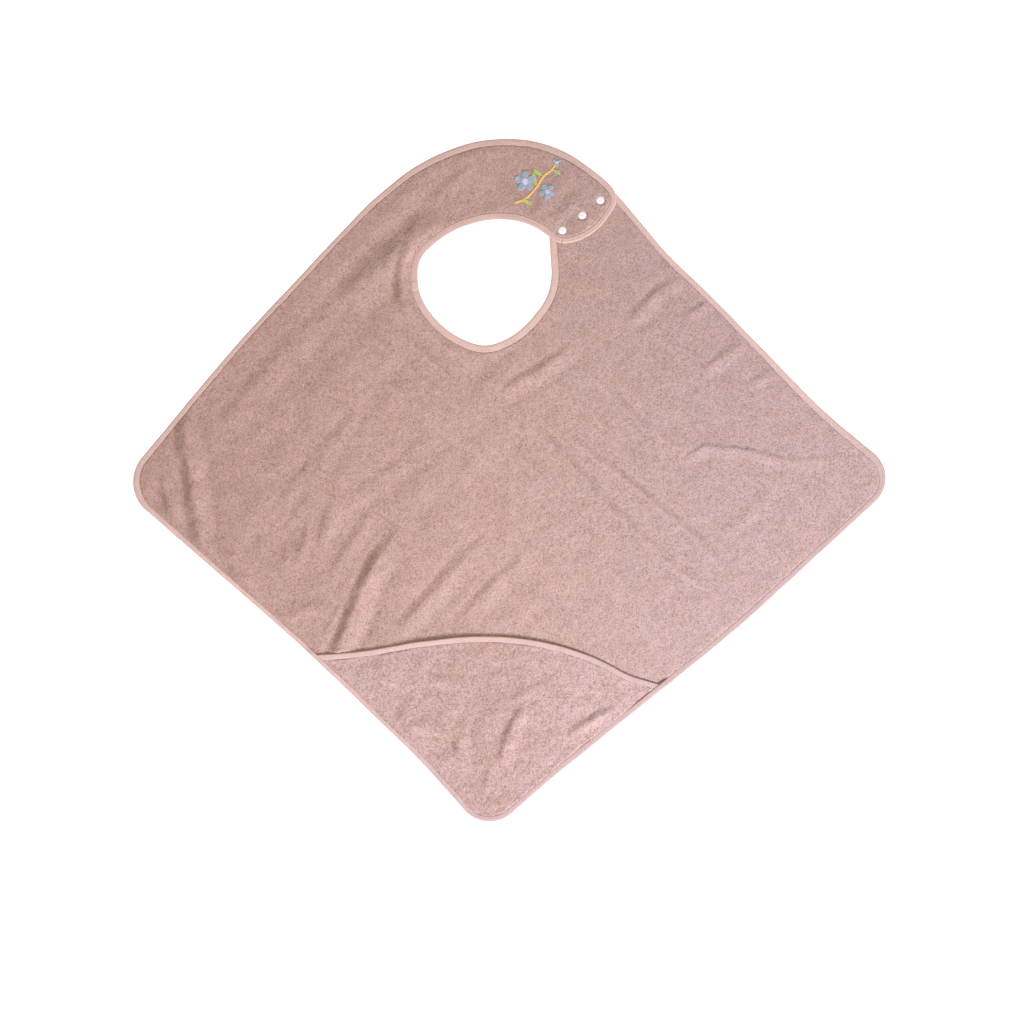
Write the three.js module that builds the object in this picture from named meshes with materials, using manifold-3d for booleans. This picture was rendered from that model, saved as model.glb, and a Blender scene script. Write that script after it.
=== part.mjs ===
// A hooded apron towel laid out flat: a square terry apron whose top corner is a neck band closed
// by snaps over the right shoulder, with a hood sewn across the opposite corner. All raw edges are
// bound with tape. Millimetres, +Z up, +Y towards the neck. The origin is under the middle of the
// towel, on the surface that it lies on.
import * as THREE from 'three';
import { mergeVertices } from 'three/addons/utils/BufferGeometryUtils.js';
import Module from 'manifold-3d';

const wasm = await Module();
wasm.setup();

// ---------------------------------------------------------------------------------------------
// Driving dimensions
// ---------------------------------------------------------------------------------------------

const GAP = 0.3; // clearance between two pieces that are sewn together
const TERRY = 2.4; // terry with its pile
const TERRY_PRESSED = 1.2; // terry squeezed inside a binding
const TAPE = 1; // one folded layer of binding tape
const TAPE_WIDTH = 12; // how far the tape reaches in over each face
const TAPE_CHAMFER = 0.6; // softens the fold of the tape

// Heights above the table, inside the bound edge.
const RIM_RISE = TAPE + GAP; // underside of the apron, on the lower layer of tape
const RIM_STACK = 2 * (TAPE + GAP) + TERRY_PRESSED; // top of the tape round one layer of terry
const TAB_LIFT = RIM_STACK + GAP; // the strap's tab lies on the bound shoulder
const HOOD_LEVEL = RIM_RISE + TERRY_PRESSED + GAP; // underside of the hood where it is sewn in
const HOOD_SLACK = 2 * GAP; // room over the hood inside the outer tape
const HOOD_STACK = HOOD_LEVEL + TERRY_PRESSED + HOOD_SLACK + TAPE;
const MOUTH_LIFT = 4.6; // how far the middle of the hood's mouth stands open

// Distances in from the edge at which the apron's cross-section changes.
const CLOTH_INSET = 2; // the cut edge, inside the fold of the tape
const PRESSED_TO = 13; // pressed flat this far in
const FULL_FROM = 22; // full thickness from here on
const RIM_INSETS = [CLOTH_INSET, PRESSED_TO, FULL_FROM];

// The apron's cut, anticlockwise, as corners rounded to a radius. It winds once and a bit round
// the neck: the tab at one end of the band lies over the shoulder at the other end.
const TAB_OUTER = { x: 184, y: 498, r: 26 };
const OUTER_EDGE = [
  { x: 164, y: 520, r: 200 },
  { x: 75, y: 585, r: 210 },
  { x: -42, y: 594, r: 255 },
  { x: -152, y: 555, r: 340 },
  { x: -241, y: 483, r: 700 },
  { x: -471, y: 238, r: 1800 },
  { x: -678, y: -10, r: 67 }, // left corner
  { x: -362, y: -285, r: 2400 },
  { x: -150, y: -489, r: 1100 },
  { x: -40, y: -614, r: 59 }, // bottom corner, under the hood
  { x: 70, y: -517, r: 2400 },
  { x: 390, y: -260, r: 2400 },
  { x: 680, y: 7, r: 56 }, // right corner
  { x: 547, y: 114, r: 900 },
  { x: 345, y: 322, r: 1200 },
  { x: 275, y: 387, r: 500 },
  { x: 222, y: 451, r: 150 },
  { x: 178, y: 503, r: 110 },
];
const SHOULDER_OUTER = { x: 128, y: 534, r: 26 };
const SHOULDER_INNER = { x: 66, y: 456, r: 24 };
const NECK_EDGE = [
  { x: 74, y: 326, r: 105 },
  { x: 17, y: 253, r: 148 },
  { x: -43, y: 229, r: 62 },
  { x: -110, y: 254, r: 148 },
  { x: -159, y: 319, r: 98 },
  { x: -159, y: 384, r: 57 },
  { x: -102, y: 434, r: 185 },
  { x: -35, y: 452, r: 148 },
  { x: 28, y: 449, r: 128 },
];
const TAB_INNER = { x: 87, y: 407, r: 36 };
const TAB_END = [
  { x: 143, y: 418, r: 110 },
  { x: 184, y: 476, r: 30 },
];
const NECK_CENTRE = new THREE.Vector2(-41, 345);
const TAB_ANGLE = 30; // about where the band's ends lie, in degrees round the neck
const SHOULDER_ANGLE = 405; // a turn and a bit further on

// The strap climbs on to the shoulder between these angles round the neck. The cloth of the tab
// and of the shoulder under it is held at the height of its rim.
const CLIMB_FROM = 82;
const CLIMB_TO = 51;
const TAB_RISE_FROM = 60;
const TAB_RISE_TO = 52;
const SHOULDER_RISE_FROM = 371;
const SHOULDER_RISE_TO = 381;

// The hood's mouth, from its left tip to its right, through these points.
const MOUTH_POINTS = [
  { x: -352, y: -303 },
  { x: -262, y: -296 },
  { x: -157, y: -279 },
  { x: -52, y: -269 },
  { x: 52, y: -278 },
  { x: 139, y: -304 },
  { x: 208, y: -337 },
  { x: 280, y: -359 },
];
const MOUTH_OPEN_FROM = 60; // the mouth lies flat this far in from each tip
const MOUTH_OPEN_FULL = 230; // and stands fully open from here on
const MOUTH_ROLL = 34; // the lifted lip is level this far into the hood
const MOUTH_FALL = 110; // and lies flat from here on
const TIP_RISE_FROM = 30; // inside the mouth's tape the hood lies higher, rising from here
const TIP_MARKS = { outside: 34, before: 8, within: 50, inside: 84 }; // tape stack along the edge

// The largest folds, where cloth stands off what is under it: the crest's two ends, its height
// and how far it reaches to each side.
const APRON_FOLDS = [
  { x0: -208, y0: -90, x1: -284, y1: -230, height: 7, reach: 36 },
  { x0: -75, y0: -95, x1: -190, y1: -245, height: 4, reach: 44 },
  { x0: -556, y0: 70, x1: -530, y1: -84, height: 5, reach: 62 },
  { x0: -150, y0: 458, x1: -290, y1: 316, height: 4.5, reach: 32 },
  { x0: 280, y0: 340, x1: 218, y1: 296, height: 3.5, reach: 36 },
];
const HOOD_FOLDS = [
  { x0: 18, y0: -402, x1: -24, y1: -498, height: 4, reach: 28 },
  { x0: 178, y0: -392, x1: 104, y1: -428, height: 2.5, reach: 24 },
];

// Snaps: a domed cap and a socket on the tab, a stud and a flat back on the shoulder.
const SNAP_PLACES = [
  { x: 90, y: 432.5 },
  { x: 124.5, y: 458.5 },
  { x: 155.5, y: 484.5 },
];
const CAP_RADIUS = 7.3;
const CAP_RIM = 0.8;
const CAP_DOME = 1.1;
const CAP_STEPS = 3; // facets from the cap's rim to its middle
const CAP_SUNK = 0.6; // the cap presses this far into the pile
const SOCKET_RADIUS = 5.8;
const SOCKET_SUNK = 0.8;
const STUD_FLANGE_RADIUS = 5.5;
const STUD_FLANGE = 1;
const STUD_NUB_RADIUS = 2.4;
const STUD_NUB = 1.6;
const STUD_SUNK = 1;
const BACK_RADIUS = 6.5;
const SPIKE_RADIUS = 1.2;

// Mesh density.
const DENSE_STEP = 3; // spacing of the fine outline that everything else is read from
const DENSE_TURN = THREE.MathUtils.degToRad(3);
const STATION_STEP = 72;
const STATION_ANGLE = 8; // degrees round the neck
const STATION_STRAY = 0.6; // most that the outline strays from the line between two stations
const BEND_WEIGHT = 60; // a bend of one radian takes as many steps as this length
const CLOSE_STRETCHES = [
  { from: 0, to: CLIMB_FROM, step: 17 }, // where the strap climbs
  { from: 243, to: 255, step: 26 }, // across the sharpest fold
];
const BAND_STEPS = 7; // rows of cells between the neck's rim and the outer rim
const END_SECTIONS = 5; // sections that bend to meet a rounded end
const HOOD_SECTIONS = 24;
const HOOD_ROWS = 4;
const SECTION_CLEARANCE = 6; // between the mitred end of the mouth's tape and its next section
const SNAP_SIDES = 16;

// ---------------------------------------------------------------------------------------------
// Plane geometry
// ---------------------------------------------------------------------------------------------

const { lerp, clamp, radToDeg } = THREE.MathUtils;

// 0 before from, 1 after to and even between them. from may be the larger.
const share = (from, to, value) => clamp((value - from) / (to - from), 0, 1);

// The same with a smooth start and end.
const ease = (from, to, value) => THREE.MathUtils.smoothstep(share(from, to, value), 0, 1);

const vectorOf = ({ x, y }) => new THREE.Vector2(x, y);
const leftOf = (direction) => new THREE.Vector2(-direction.y, direction.x);

// The arc that rounds one corner, as points with their normals to the left of the path.
function cornerArc(before, corner, after, step, turnStep) {
  const here = vectorOf(corner);
  const into = here.clone().sub(vectorOf(before)).normalize();
  const out = vectorOf(after).sub(here).normalize();
  const turn = Math.atan2(into.cross(out), into.dot(out));
  const side = Math.sign(turn);
  const start = here.clone().addScaledVector(into, -corner.r * Math.tan(Math.abs(turn) / 2));
  const centre = start.clone().addScaledVector(leftOf(into), side * corner.r);
  const halfSteps = Math.ceil((Math.abs(turn) / 2) * Math.max(1 / turnStep, corner.r / step));
  return Array.from({ length: 2 * halfSteps + 1 }, (_, k) => {
    const normal = leftOf(into).rotateAround(new THREE.Vector2(), (turn * k) / (2 * halfSteps));
    const point = centre.clone().addScaledVector(normal, -side * corner.r);
    return { point, normal, middleOf: k === halfSteps ? corner : null };
  });
}

// A closed path of rounded corners as closely spaced samples.
function roundedLoop(corners, step, turnStep) {
  const count = corners.length;
  const arcs = corners.map((corner, k) =>
    cornerArc(corners[(k + count - 1) % count], corner, corners[(k + 1) % count], step, turnStep),
  );
  return arcs.flatMap((arc, k) => {
    const last = arc.at(-1);
    const next = arcs[(k + 1) % count][0];
    const pieces = Math.max(1, Math.ceil(last.point.distanceTo(next.point) / step));
    const straight = Array.from({ length: pieces - 1 }, (_, s) => ({
      point: last.point.clone().lerp(next.point, (s + 1) / pieces),
      normal: last.normal,
    }));
    return [...arc, ...straight];
  });
}

// Adds to a run of samples the distance along it, the same with its bends stretched out, and the
// angle round the neck without a jump, from about where it starts.
function measured(run, startAngle = 0) {
  let length = 0;
  let bend = 0;
  let angle = startAngle;
  return run.map((sample, k) => {
    if (k > 0) {
      const step = sample.point.distanceTo(run[k - 1].point);
      length += step;
      bend += step + BEND_WEIGHT * sample.normal.angleTo(run[k - 1].normal);
    }
    const seen = radToDeg(Math.atan2(sample.point.y - NECK_CENTRE.y, sample.point.x - NECK_CENTRE.x));
    angle += ((((seen - angle) % 360) + 540) % 360) - 180;
    return { ...sample, length, bend, angle };
  });
}

// The sample at a value of one of its measures, such as its length, by interpolation.
function sampleAt(run, measure, value) {
  const rising = run.at(-1)[measure] > run[0][measure];
  let k = run.findIndex((s) => (rising ? s[measure] >= value : s[measure] <= value));
  k = k < 0 ? run.length - 1 : Math.max(k, 1);
  const [a, b] = [run[k - 1], run[k]];
  const t = clamp((value - a[measure]) / (b[measure] - a[measure]), 0, 1);
  return {
    point: a.point.clone().lerp(b.point, t),
    normal: a.normal.clone().lerp(b.normal, t).normalize(),
    length: lerp(a.length, b.length, t),
    angle: lerp(a.angle, b.angle, t),
  };
}

// Samples spread evenly along a run, closer together round its bends.
function evenSamples(run, count) {
  const total = run.at(-1).bend;
  return Array.from({ length: count + 1 }, (_, k) => sampleAt(run, 'bend', (total * k) / count));
}

const insetPoint = (station, inset) =>
  station.point.clone().addScaledVector(station.normal, inset);

function distanceToRun(point, run) {
  let best = Infinity;
  for (let k = 1; k < run.length; k++) {
    const a = run[k - 1].point;
    const along = run[k].point.clone().sub(a);
    const t = clamp(point.clone().sub(a).dot(along) / along.lengthSq(), 0, 1);
    best = Math.min(best, point.distanceTo(a.clone().addScaledVector(along, t)));
  }
  return best;
}

// ---------------------------------------------------------------------------------------------
// The cut of the apron: a fine outline, and the stations that the solids are built on
// ---------------------------------------------------------------------------------------------

const CUT = [
  TAB_OUTER,
  ...OUTER_EDGE,
  SHOULDER_OUTER,
  SHOULDER_INNER,
  ...NECK_EDGE,
  TAB_INNER,
  ...TAB_END,
];
const loop = roundedLoop(CUT, DENSE_STEP, DENSE_TURN);

function runBetween(from, to) {
  const start = loop.findIndex((s) => s.middleOf === from);
  const turned = [...loop.slice(start), ...loop.slice(0, start), loop[start]];
  return turned.slice(0, turned.findIndex((s, k) => k > 0 && s.middleOf === to) + 1);
}

const outerRun = measured(runBetween(TAB_OUTER, SHOULDER_OUTER), TAB_ANGLE);
const neckRun = measured(runBetween(SHOULDER_INNER, TAB_INNER).reverse(), TAB_ANGLE);
const tabRun = measured(runBetween(TAB_INNER, TAB_OUTER), TAB_ANGLE);
const shoulderRun = measured(runBetween(SHOULDER_OUTER, SHOULDER_INNER).reverse(), SHOULDER_ANGLE);

// The hood's mouth, with normals into the hood.
function mouthRun() {
  const curve = new THREE.SplineCurve(MOUTH_POINTS.map(vectorOf));
  const count = Math.ceil(curve.getLength() / DENSE_STEP);
  const samples = Array.from({ length: count + 1 }, (_, k) => ({
    point: curve.getPointAt(k / count),
    normal: leftOf(curve.getTangentAt(k / count)).negate(),
  }));
  return measured(samples);
}

const wholeMouth = mouthRun();
const edgeDistance = (point) => distanceToRun(point, outerRun);

// A line that runs so far in from the mouth, cut to where it is that clear of the outer edge.
function mouthLine(inset, clearance) {
  const line = wholeMouth.map((s) => ({ ...s, point: insetPoint(s, inset) }));
  const meets = (s) => edgeDistance(s.point) < clearance;
  const middle = Math.floor(line.length / 2);
  const first = line.slice(0, middle).findLastIndex(meets) + 1;
  const last = middle + line.slice(middle).findIndex(meets);
  return measured(line.slice(first, last));
}

const nearest = (run, point) =>
  run.reduce((a, b) => (a.point.distanceTo(point) < b.point.distanceTo(point) ? a : b));
const hoodMouth = mouthLine(CLOTH_INSET, CLOTH_INSET + GAP);
const hoodEdge = outerRun.slice(
  outerRun.indexOf(nearest(outerRun, hoodMouth[0].point)),
  outerRun.indexOf(nearest(outerRun, hoodMouth.at(-1).point)) + 1,
);
const hoodMouthSections = evenSamples(hoodMouth, HOOD_SECTIONS);
const leftTip = hoodEdge[0].length;
const rightTip = hoodEdge.at(-1).length;

// How far a stretch of a run strays from the straight line between its ends.
function stray(stretch) {
  const line = [stretch[0], stretch.at(-1)];
  return Math.max(...stretch.map((s) => distanceToRun(s.point, line)));
}

// The samples that a run's shape needs, and any others that are asked for.
function stationsOf(run, isAsked) {
  const chosen = [0];
  for (let k = 1; k + 1 < run.length; k++) {
    const last = chosen.at(-1);
    const asked = isAsked(run[k], run[last], run[k + 1]);
    if (asked || stray(run.slice(last, k + 2)) > STATION_STRAY) chosen.push(k);
  }
  return [...chosen.map((k) => run[k]), run.at(-1)];
}

// Stations along the outer edge: far apart on straight stretches, closer on bends, round the neck,
// on the climb, across the sharpest fold and at the hood's tips.
const { outside, before, within, inside } = TIP_MARKS;
const tipMarks = [-outside, -before, within, inside].flatMap((d) => [leftTip + d, rightTip - d]);
const outer = stationsOf(outerRun, (here, last, next) => {
  const close = CLOSE_STRETCHES.find((c) => here.angle >= c.from && here.angle < c.to);
  const far = here.length - last.length >= (close ? close.step : STATION_STEP);
  const wide = here.angle - last.angle >= STATION_ANGLE;
  const marked = tipMarks.some((m) => here.length <= m && next.length > m);
  return far || wide || marked;
});
const SECTIONS = outer.length - 1;
const neck = outer.map((s) => {
  const part = share(outer[0].angle, outer[SECTIONS].angle, s.angle);
  return sampleAt(neckRun, 'angle', lerp(neckRun[0].angle, neckRun.at(-1).angle, part));
});
const shoulderEnd = evenSamples(shoulderRun, BAND_STEPS);
const tabEnd = evenSamples(tabRun, BAND_STEPS);

// A band's end lies level with the outer edge that it goes on from.
const levelWith = (station) => (s) => ({ ...s, length: 0, angle: station.angle });

// ---------------------------------------------------------------------------------------------
// Heights
// ---------------------------------------------------------------------------------------------

const strapLift = (angle) => TAB_LIFT * ease(CLIMB_FROM, CLIMB_TO, angle);

// 1 where the cloth is held at the rim's height right across, under and in the tab.
const heldOff = (angle) =>
  Math.max(
    ease(TAB_RISE_FROM, TAB_RISE_TO, angle),
    ease(SHOULDER_RISE_FROM, SHOULDER_RISE_TO, angle),
  );

function foldHeight(folds, point) {
  return folds.reduce((sum, fold) => {
    const start = new THREE.Vector2(fold.x0, fold.y0);
    const along = new THREE.Vector2(fold.x1, fold.y1).sub(start);
    const t = clamp(point.clone().sub(start).dot(along) / along.lengthSq(), 0, 1);
    const away = point.distanceTo(start.clone().addScaledVector(along, t));
    const taper = 1 - Math.abs(2 * t - 1) ** 3;
    return sum + fold.height * taper * ease(fold.reach, 0, away);
  }, 0);
}

// Underside and top of the apron at a point that many millimetres in from its edge.
function apronLevels(point, angle, inset) {
  const full = ease(PRESSED_TO, FULL_FROM, inset);
  const rise = RIM_RISE * Math.max(1 - full, heldOff(angle));
  const fold = inset > FULL_FROM ? foldHeight(APRON_FOLDS, point) : 0;
  const under = strapLift(angle) + rise + fold;
  return [under, under + lerp(TERRY_PRESSED, TERRY, full)];
}

// How far the hood stands up at a point of its mouth, and at a distance into it from there.
function mouthLift(mouthPoint, inset) {
  const along = nearest(wholeMouth, mouthPoint).length;
  const fromTip = Math.min(along, wholeMouth.at(-1).length - along);
  const open = ease(MOUTH_OPEN_FROM, MOUTH_OPEN_FULL, fromTip);
  return MOUTH_LIFT * open * ease(MOUTH_FALL, MOUTH_ROLL, inset);
}

function hoodLevels(point, mouthPoint) {
  const fromMouth = distanceToRun(point, wholeMouth);
  const fromEdge = edgeDistance(point);
  const full = ease(PRESSED_TO, FULL_FROM, Math.min(fromMouth, fromEdge));
  const clearOfRim = ease(FULL_FROM, 2 * FULL_FROM, Math.min(fromMouth, fromEdge));
  const under =
    HOOD_LEVEL +
    RIM_RISE * share(TIP_RISE_FROM, PRESSED_TO, fromMouth) +
    mouthLift(mouthPoint, fromMouth) +
    clearOfRim * foldHeight(HOOD_FOLDS, point);
  return [under, under + lerp(TERRY_PRESSED, TERRY, full)];
}

// Height of the outer tape's stack at a station: thicker where it also holds the hood, and
// thickest at the hood's tips, over the mouth's own tape.
function outerStack(station) {
  const intoHood = Math.min(station.length - leftTip, rightTip - station.length);
  const inner = HOOD_STACK + RIM_RISE * share(inside, within, intoHood);
  return lerp(RIM_STACK, inner, share(-outside, -before, intoHood));
}

// ---------------------------------------------------------------------------------------------
// Solids from points
// ---------------------------------------------------------------------------------------------

function geometryOf(points, faces) {
  const geometry = new THREE.BufferGeometry();
  geometry.setAttribute(
    'position',
    new THREE.Float32BufferAttribute(points.flatMap((p) => [p.x, p.y, p.z]), 3),
  );
  geometry.setIndex(faces.flat());
  return geometry;
}

const quad = (a, b, c, d) => [
  [a, b, c],
  [a, c, d],
];

// A sheet of cloth from its cells: plan points with an underside and a top, and the rim in order.
function sheetGeometry(plan, cells, rim) {
  const count = plan.length;
  const at = (k, level) => new THREE.Vector3(plan[k].point.x, plan[k].point.y, plan[k].levels[level]);
  const points = [...plan.map((_, k) => at(k, 1)), ...plan.map((_, k) => at(k, 0))];
  const top = cells.flatMap(([a, b, c, d]) => quad(a, b, c, d));
  const under = top.map(([a, b, c]) => [c + count, b + count, a + count]);
  const wall = rim.flatMap((a, k) => {
    const b = rim[(k + 1) % rim.length];
    return quad(a + count, b + count, b, a);
  });
  return geometryOf(points, [...top, ...under, ...wall]);
}

// A band that follows stations, from a closed profile of (inset, height) at each of them.
function sweptGeometry(stations, profileAt) {
  const rings = stations.map(profileAt);
  const size = rings[0].length;
  const points = rings.flatMap((ring, s) =>
    ring.map(([inset, height]) => {
      const { x, y } = insetPoint(stations[s], inset);
      return new THREE.Vector3(x, y, height);
    }),
  );
  const sides = stations.slice(1).flatMap((_, s) =>
    rings[s].flatMap((_, k) => {
      const next = (k + 1) % size;
      const [a, b] = [s * size, (s + 1) * size];
      return quad(a + k, a + next, b + next, b + k);
    }),
  );
  const cap = (ring) =>
    THREE.ShapeUtils.triangulateShape(ring.map(([x, y]) => new THREE.Vector2(x, y)), []);
  const start = cap(rings[0]).map(([a, b, c]) => [c, b, a]);
  const shift = (rings.length - 1) * size;
  const end = cap(rings.at(-1)).map(([a, b, c]) => [a + shift, b + shift, c + shift]);
  return geometryOf(points, [...sides, ...start, ...end]);
}

// Tape folded round an edge: an open box section, seen with the cloth to its right.
function tapeProfile(base, stack) {
  const top = base + stack;
  return [
    [TAPE_WIDTH, base],
    [TAPE_WIDTH, base + TAPE],
    [TAPE, base + TAPE],
    [TAPE, top - TAPE],
    [TAPE_WIDTH, top - TAPE],
    [TAPE_WIDTH, top],
    [TAPE_CHAMFER, top],
    [0, top - TAPE_CHAMFER],
    [0, base],
  ];
}

// ---------------------------------------------------------------------------------------------
// The apron panel
// ---------------------------------------------------------------------------------------------

// Two bands of cells follow the rim, and sections from the neck to the outer edge fill the rest.
function apronGeometry() {
  const inner = (list) => list.slice(1, -1);
  const rimStations = [
    ...outer,
    ...inner(shoulderEnd).reverse().map(levelWith(outer[SECTIONS])),
    ...[...neck].reverse(),
    ...inner(tabEnd).map(levelWith(outer[0])),
  ];
  const around = rimStations.length;
  const plan = RIM_INSETS.flatMap((inset) =>
    rimStations.map((s) => {
      const point = insetPoint(s, inset);
      return { point, levels: apronLevels(point, s.angle, inset) };
    }),
  );

  // Cell corners between the rims share the innermost ring where they lie on it.
  const ringStart = (RIM_INSETS.length - 1) * around;
  const shoulderStart = SECTIONS + 1;
  const neckStart = shoulderStart + BAND_STEPS - 1;
  const tabStart = neckStart + SECTIONS + 1;
  const field = (i, j) => ringStart + around + (i - 1) * (BAND_STEPS - 1) + (j - 1);
  const corner = (i, j) => {
    if (j === BAND_STEPS) return ringStart + i;
    if (j === 0) return ringStart + neckStart + SECTIONS - i;
    if (i === SECTIONS) return ringStart + shoulderStart + BAND_STEPS - 1 - j;
    if (i === 0) return ringStart + tabStart + j - 1;
    return field(i, j);
  };

  const rimAt = (list, k) => insetPoint(list[k], FULL_FROM);
  const endBulge = (end, i, j) =>
    rimAt(end, j).sub(rimAt(neck, i).lerp(rimAt(outer, i), j / BAND_STEPS));
  for (let i = 1; i < SECTIONS; i++) {
    const nearTab = Math.max(0, 1 - i / END_SECTIONS) ** 2;
    const nearShoulder = Math.max(0, 1 - (SECTIONS - i) / END_SECTIONS) ** 2;
    for (let j = 1; j < BAND_STEPS; j++) {
      const point = rimAt(neck, i)
        .lerp(rimAt(outer, i), j / BAND_STEPS)
        .addScaledVector(endBulge(tabEnd, 0, j), nearTab)
        .addScaledVector(endBulge(shoulderEnd, SECTIONS, j), nearShoulder);
      plan.push({ point, levels: apronLevels(point, outer[i].angle, 2 * FULL_FROM) });
    }
  }

  const cells = [];
  for (let ring = 0; ring + 1 < RIM_INSETS.length; ring++) {
    const [a, b] = [ring * around, (ring + 1) * around];
    for (let s = 0; s < around; s++) {
      const next = (s + 1) % around;
      cells.push([a + s, a + next, b + next, b + s]);
    }
  }
  for (let i = 0; i < SECTIONS; i++) {
    for (let j = 0; j < BAND_STEPS; j++) {
      cells.push([corner(i, j + 1), corner(i + 1, j + 1), corner(i + 1, j), corner(i, j)]);
    }
  }
  const rim = Array.from({ length: around }, (_, s) => s);
  return sheetGeometry(plan, cells, rim);
}

// ---------------------------------------------------------------------------------------------
// The hood panel
// ---------------------------------------------------------------------------------------------

// Sections run from the mouth to the outer edge, with rows close together at both.
function hoodGeometry() {
  const edge = evenSamples(measured(hoodEdge), HOOD_SECTIONS);
  const rows = 2 * RIM_INSETS.length + HOOD_ROWS - 1;
  const sharesOf = (length) => {
    const rim = RIM_INSETS.map((inset) => (inset - CLOTH_INSET) / Math.max(length, 3 * FULL_FROM));
    const between = Array.from({ length: HOOD_ROWS - 1 }, (_, k) =>
      lerp(rim.at(-1), 1 - rim.at(-1), (k + 1) / HOOD_ROWS),
    );
    return [...rim, ...between, ...rim.map((part) => 1 - part).reverse()];
  };
  const plan = hoodMouthSections.flatMap(({ point: from }, k) => {
    const to = insetPoint(edge[k], CLOTH_INSET);
    return sharesOf(from.distanceTo(to)).map((part) => {
      const point = from.clone().lerp(to, part);
      return { point, levels: hoodLevels(point, from) };
    });
  });
  const cells = [];
  for (let k = 0; k < HOOD_SECTIONS; k++) {
    for (let j = 0; j + 1 < rows; j++) {
      const [a, b] = [k * rows + j, (k + 1) * rows + j];
      cells.push([a + 1, b + 1, b, a]);
    }
  }
  const column = (k) => Array.from({ length: rows }, (_, j) => k * rows + j);
  const row = (j) => Array.from({ length: HOOD_SECTIONS + 1 }, (_, k) => k * rows + j);
  const rim = [
    ...row(rows - 1),
    ...column(HOOD_SECTIONS).reverse().slice(1),
    ...row(0).reverse().slice(1),
    ...column(0).slice(1, -1),
  ];
  return sheetGeometry(plan, cells, rim);
}

// ---------------------------------------------------------------------------------------------
// Snaps, as profiles turned about a vertical axis
// ---------------------------------------------------------------------------------------------

const shoulderTop = RIM_RISE + TERRY;
const tabUnder = TAB_LIFT + RIM_RISE;
const tabTop = tabUnder + TERRY;
const studBase = shoulderTop - STUD_SUNK + GAP;
const studTop = studBase + STUD_FLANGE;
const nubTop = studTop + STUD_NUB;
const socketTop = tabUnder + SOCKET_SUNK - GAP;
const capBase = tabTop - CAP_SUNK + GAP;

function turned(profile) {
  const points = profile.map(([radius, height]) => new THREE.Vector2(radius, height));
  return new THREE.LatheGeometry(points, SNAP_SIDES).rotateX(Math.PI / 2);
}

const capProfile = [
  [0, nubTop + GAP],
  [SPIKE_RADIUS, nubTop + GAP],
  [SPIKE_RADIUS, capBase],
  [CAP_RADIUS, capBase],
  ...Array.from({ length: CAP_STEPS }, (_, k) => {
    const angle = ((k / CAP_STEPS) * Math.PI) / 2;
    return [CAP_RADIUS * Math.cos(angle), capBase + CAP_RIM + CAP_DOME * Math.sin(angle)];
  }),
  [0, capBase + CAP_RIM + CAP_DOME],
];
const socketProfile = [
  [STUD_NUB_RADIUS + GAP, studTop + GAP],
  [SOCKET_RADIUS, studTop + GAP],
  [SOCKET_RADIUS, socketTop],
  [STUD_NUB_RADIUS + GAP, socketTop],
  [STUD_NUB_RADIUS + GAP, studTop + GAP],
];
const studProfile = [
  [0, studBase],
  [STUD_FLANGE_RADIUS, studBase],
  [STUD_FLANGE_RADIUS, studTop],
  [STUD_NUB_RADIUS, studTop],
  [STUD_NUB_RADIUS, nubTop],
  [0, nubTop],
];
const backProfile = [
  [0, 0],
  [BACK_RADIUS, 0],
  [BACK_RADIUS, TAPE],
  [SPIKE_RADIUS, TAPE],
  [SPIKE_RADIUS, studBase - GAP],
  [0, studBase - GAP],
];

// What each snap takes out of the terry: holes for the spikes and the hollows it presses.
const HOLE_REACH = 1;
function snapCuts() {
  const post = (radius, from, to) => [
    [0, from],
    [radius + GAP, from],
    [radius + GAP, to],
    [0, to],
  ];
  return [
    post(SPIKE_RADIUS, -HOLE_REACH, tabTop + HOLE_REACH),
    post(STUD_FLANGE_RADIUS, shoulderTop - STUD_SUNK, shoulderTop + HOLE_REACH),
    post(SOCKET_RADIUS, tabUnder - HOLE_REACH, tabUnder + SOCKET_SUNK),
    post(CAP_RADIUS, tabTop - CAP_SUNK, tabTop + HOLE_REACH),
  ].map(turned);
}

// ---------------------------------------------------------------------------------------------
// Joining and cutting
// ---------------------------------------------------------------------------------------------

function solidOf(geometry) {
  const bare = geometry.clone();
  bare.deleteAttribute('normal');
  bare.deleteAttribute('uv');
  const merged = mergeVertices(bare, 1e-3);
  return new wasm.Manifold(
    new wasm.Mesh({
      numProp: 3,
      vertProperties: merged.attributes.position.array,
      triVerts: new Uint32Array(merged.index.array),
    }),
  );
}

function geometryFrom(solid) {
  const mesh = solid.getMesh();
  const geometry = new THREE.BufferGeometry();
  geometry.setAttribute('position', new THREE.BufferAttribute(mesh.vertProperties, 3));
  geometry.setIndex(new THREE.BufferAttribute(mesh.triVerts, 1));
  return geometry;
}

function withSnapHoles(geometry) {
  const cuts = SNAP_PLACES.flatMap(({ x, y }) => snapCuts().map((cut) => cut.translate(x, y, 0)));
  return geometryFrom(cuts.reduce((solid, cut) => solid.subtract(solidOf(cut)), solidOf(geometry)));
}

// ---------------------------------------------------------------------------------------------
// The towel
// ---------------------------------------------------------------------------------------------

const terryMaterial = new THREE.MeshStandardMaterial({ color: 0xc8a59d, roughness: 0.95, metalness: 0 });
const tapeMaterial = new THREE.MeshStandardMaterial({ color: 0xd9b5a8, roughness: 0.8, metalness: 0 });
const snapMaterial = new THREE.MeshStandardMaterial({ color: 0xf2efec, roughness: 0.35, metalness: 0 });

const towel = new THREE.Group();

function add(name, geometry, material) {
  const mesh = new THREE.Mesh(geometry, material);
  mesh.name = name;
  towel.add(mesh);
  return mesh;
}

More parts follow.
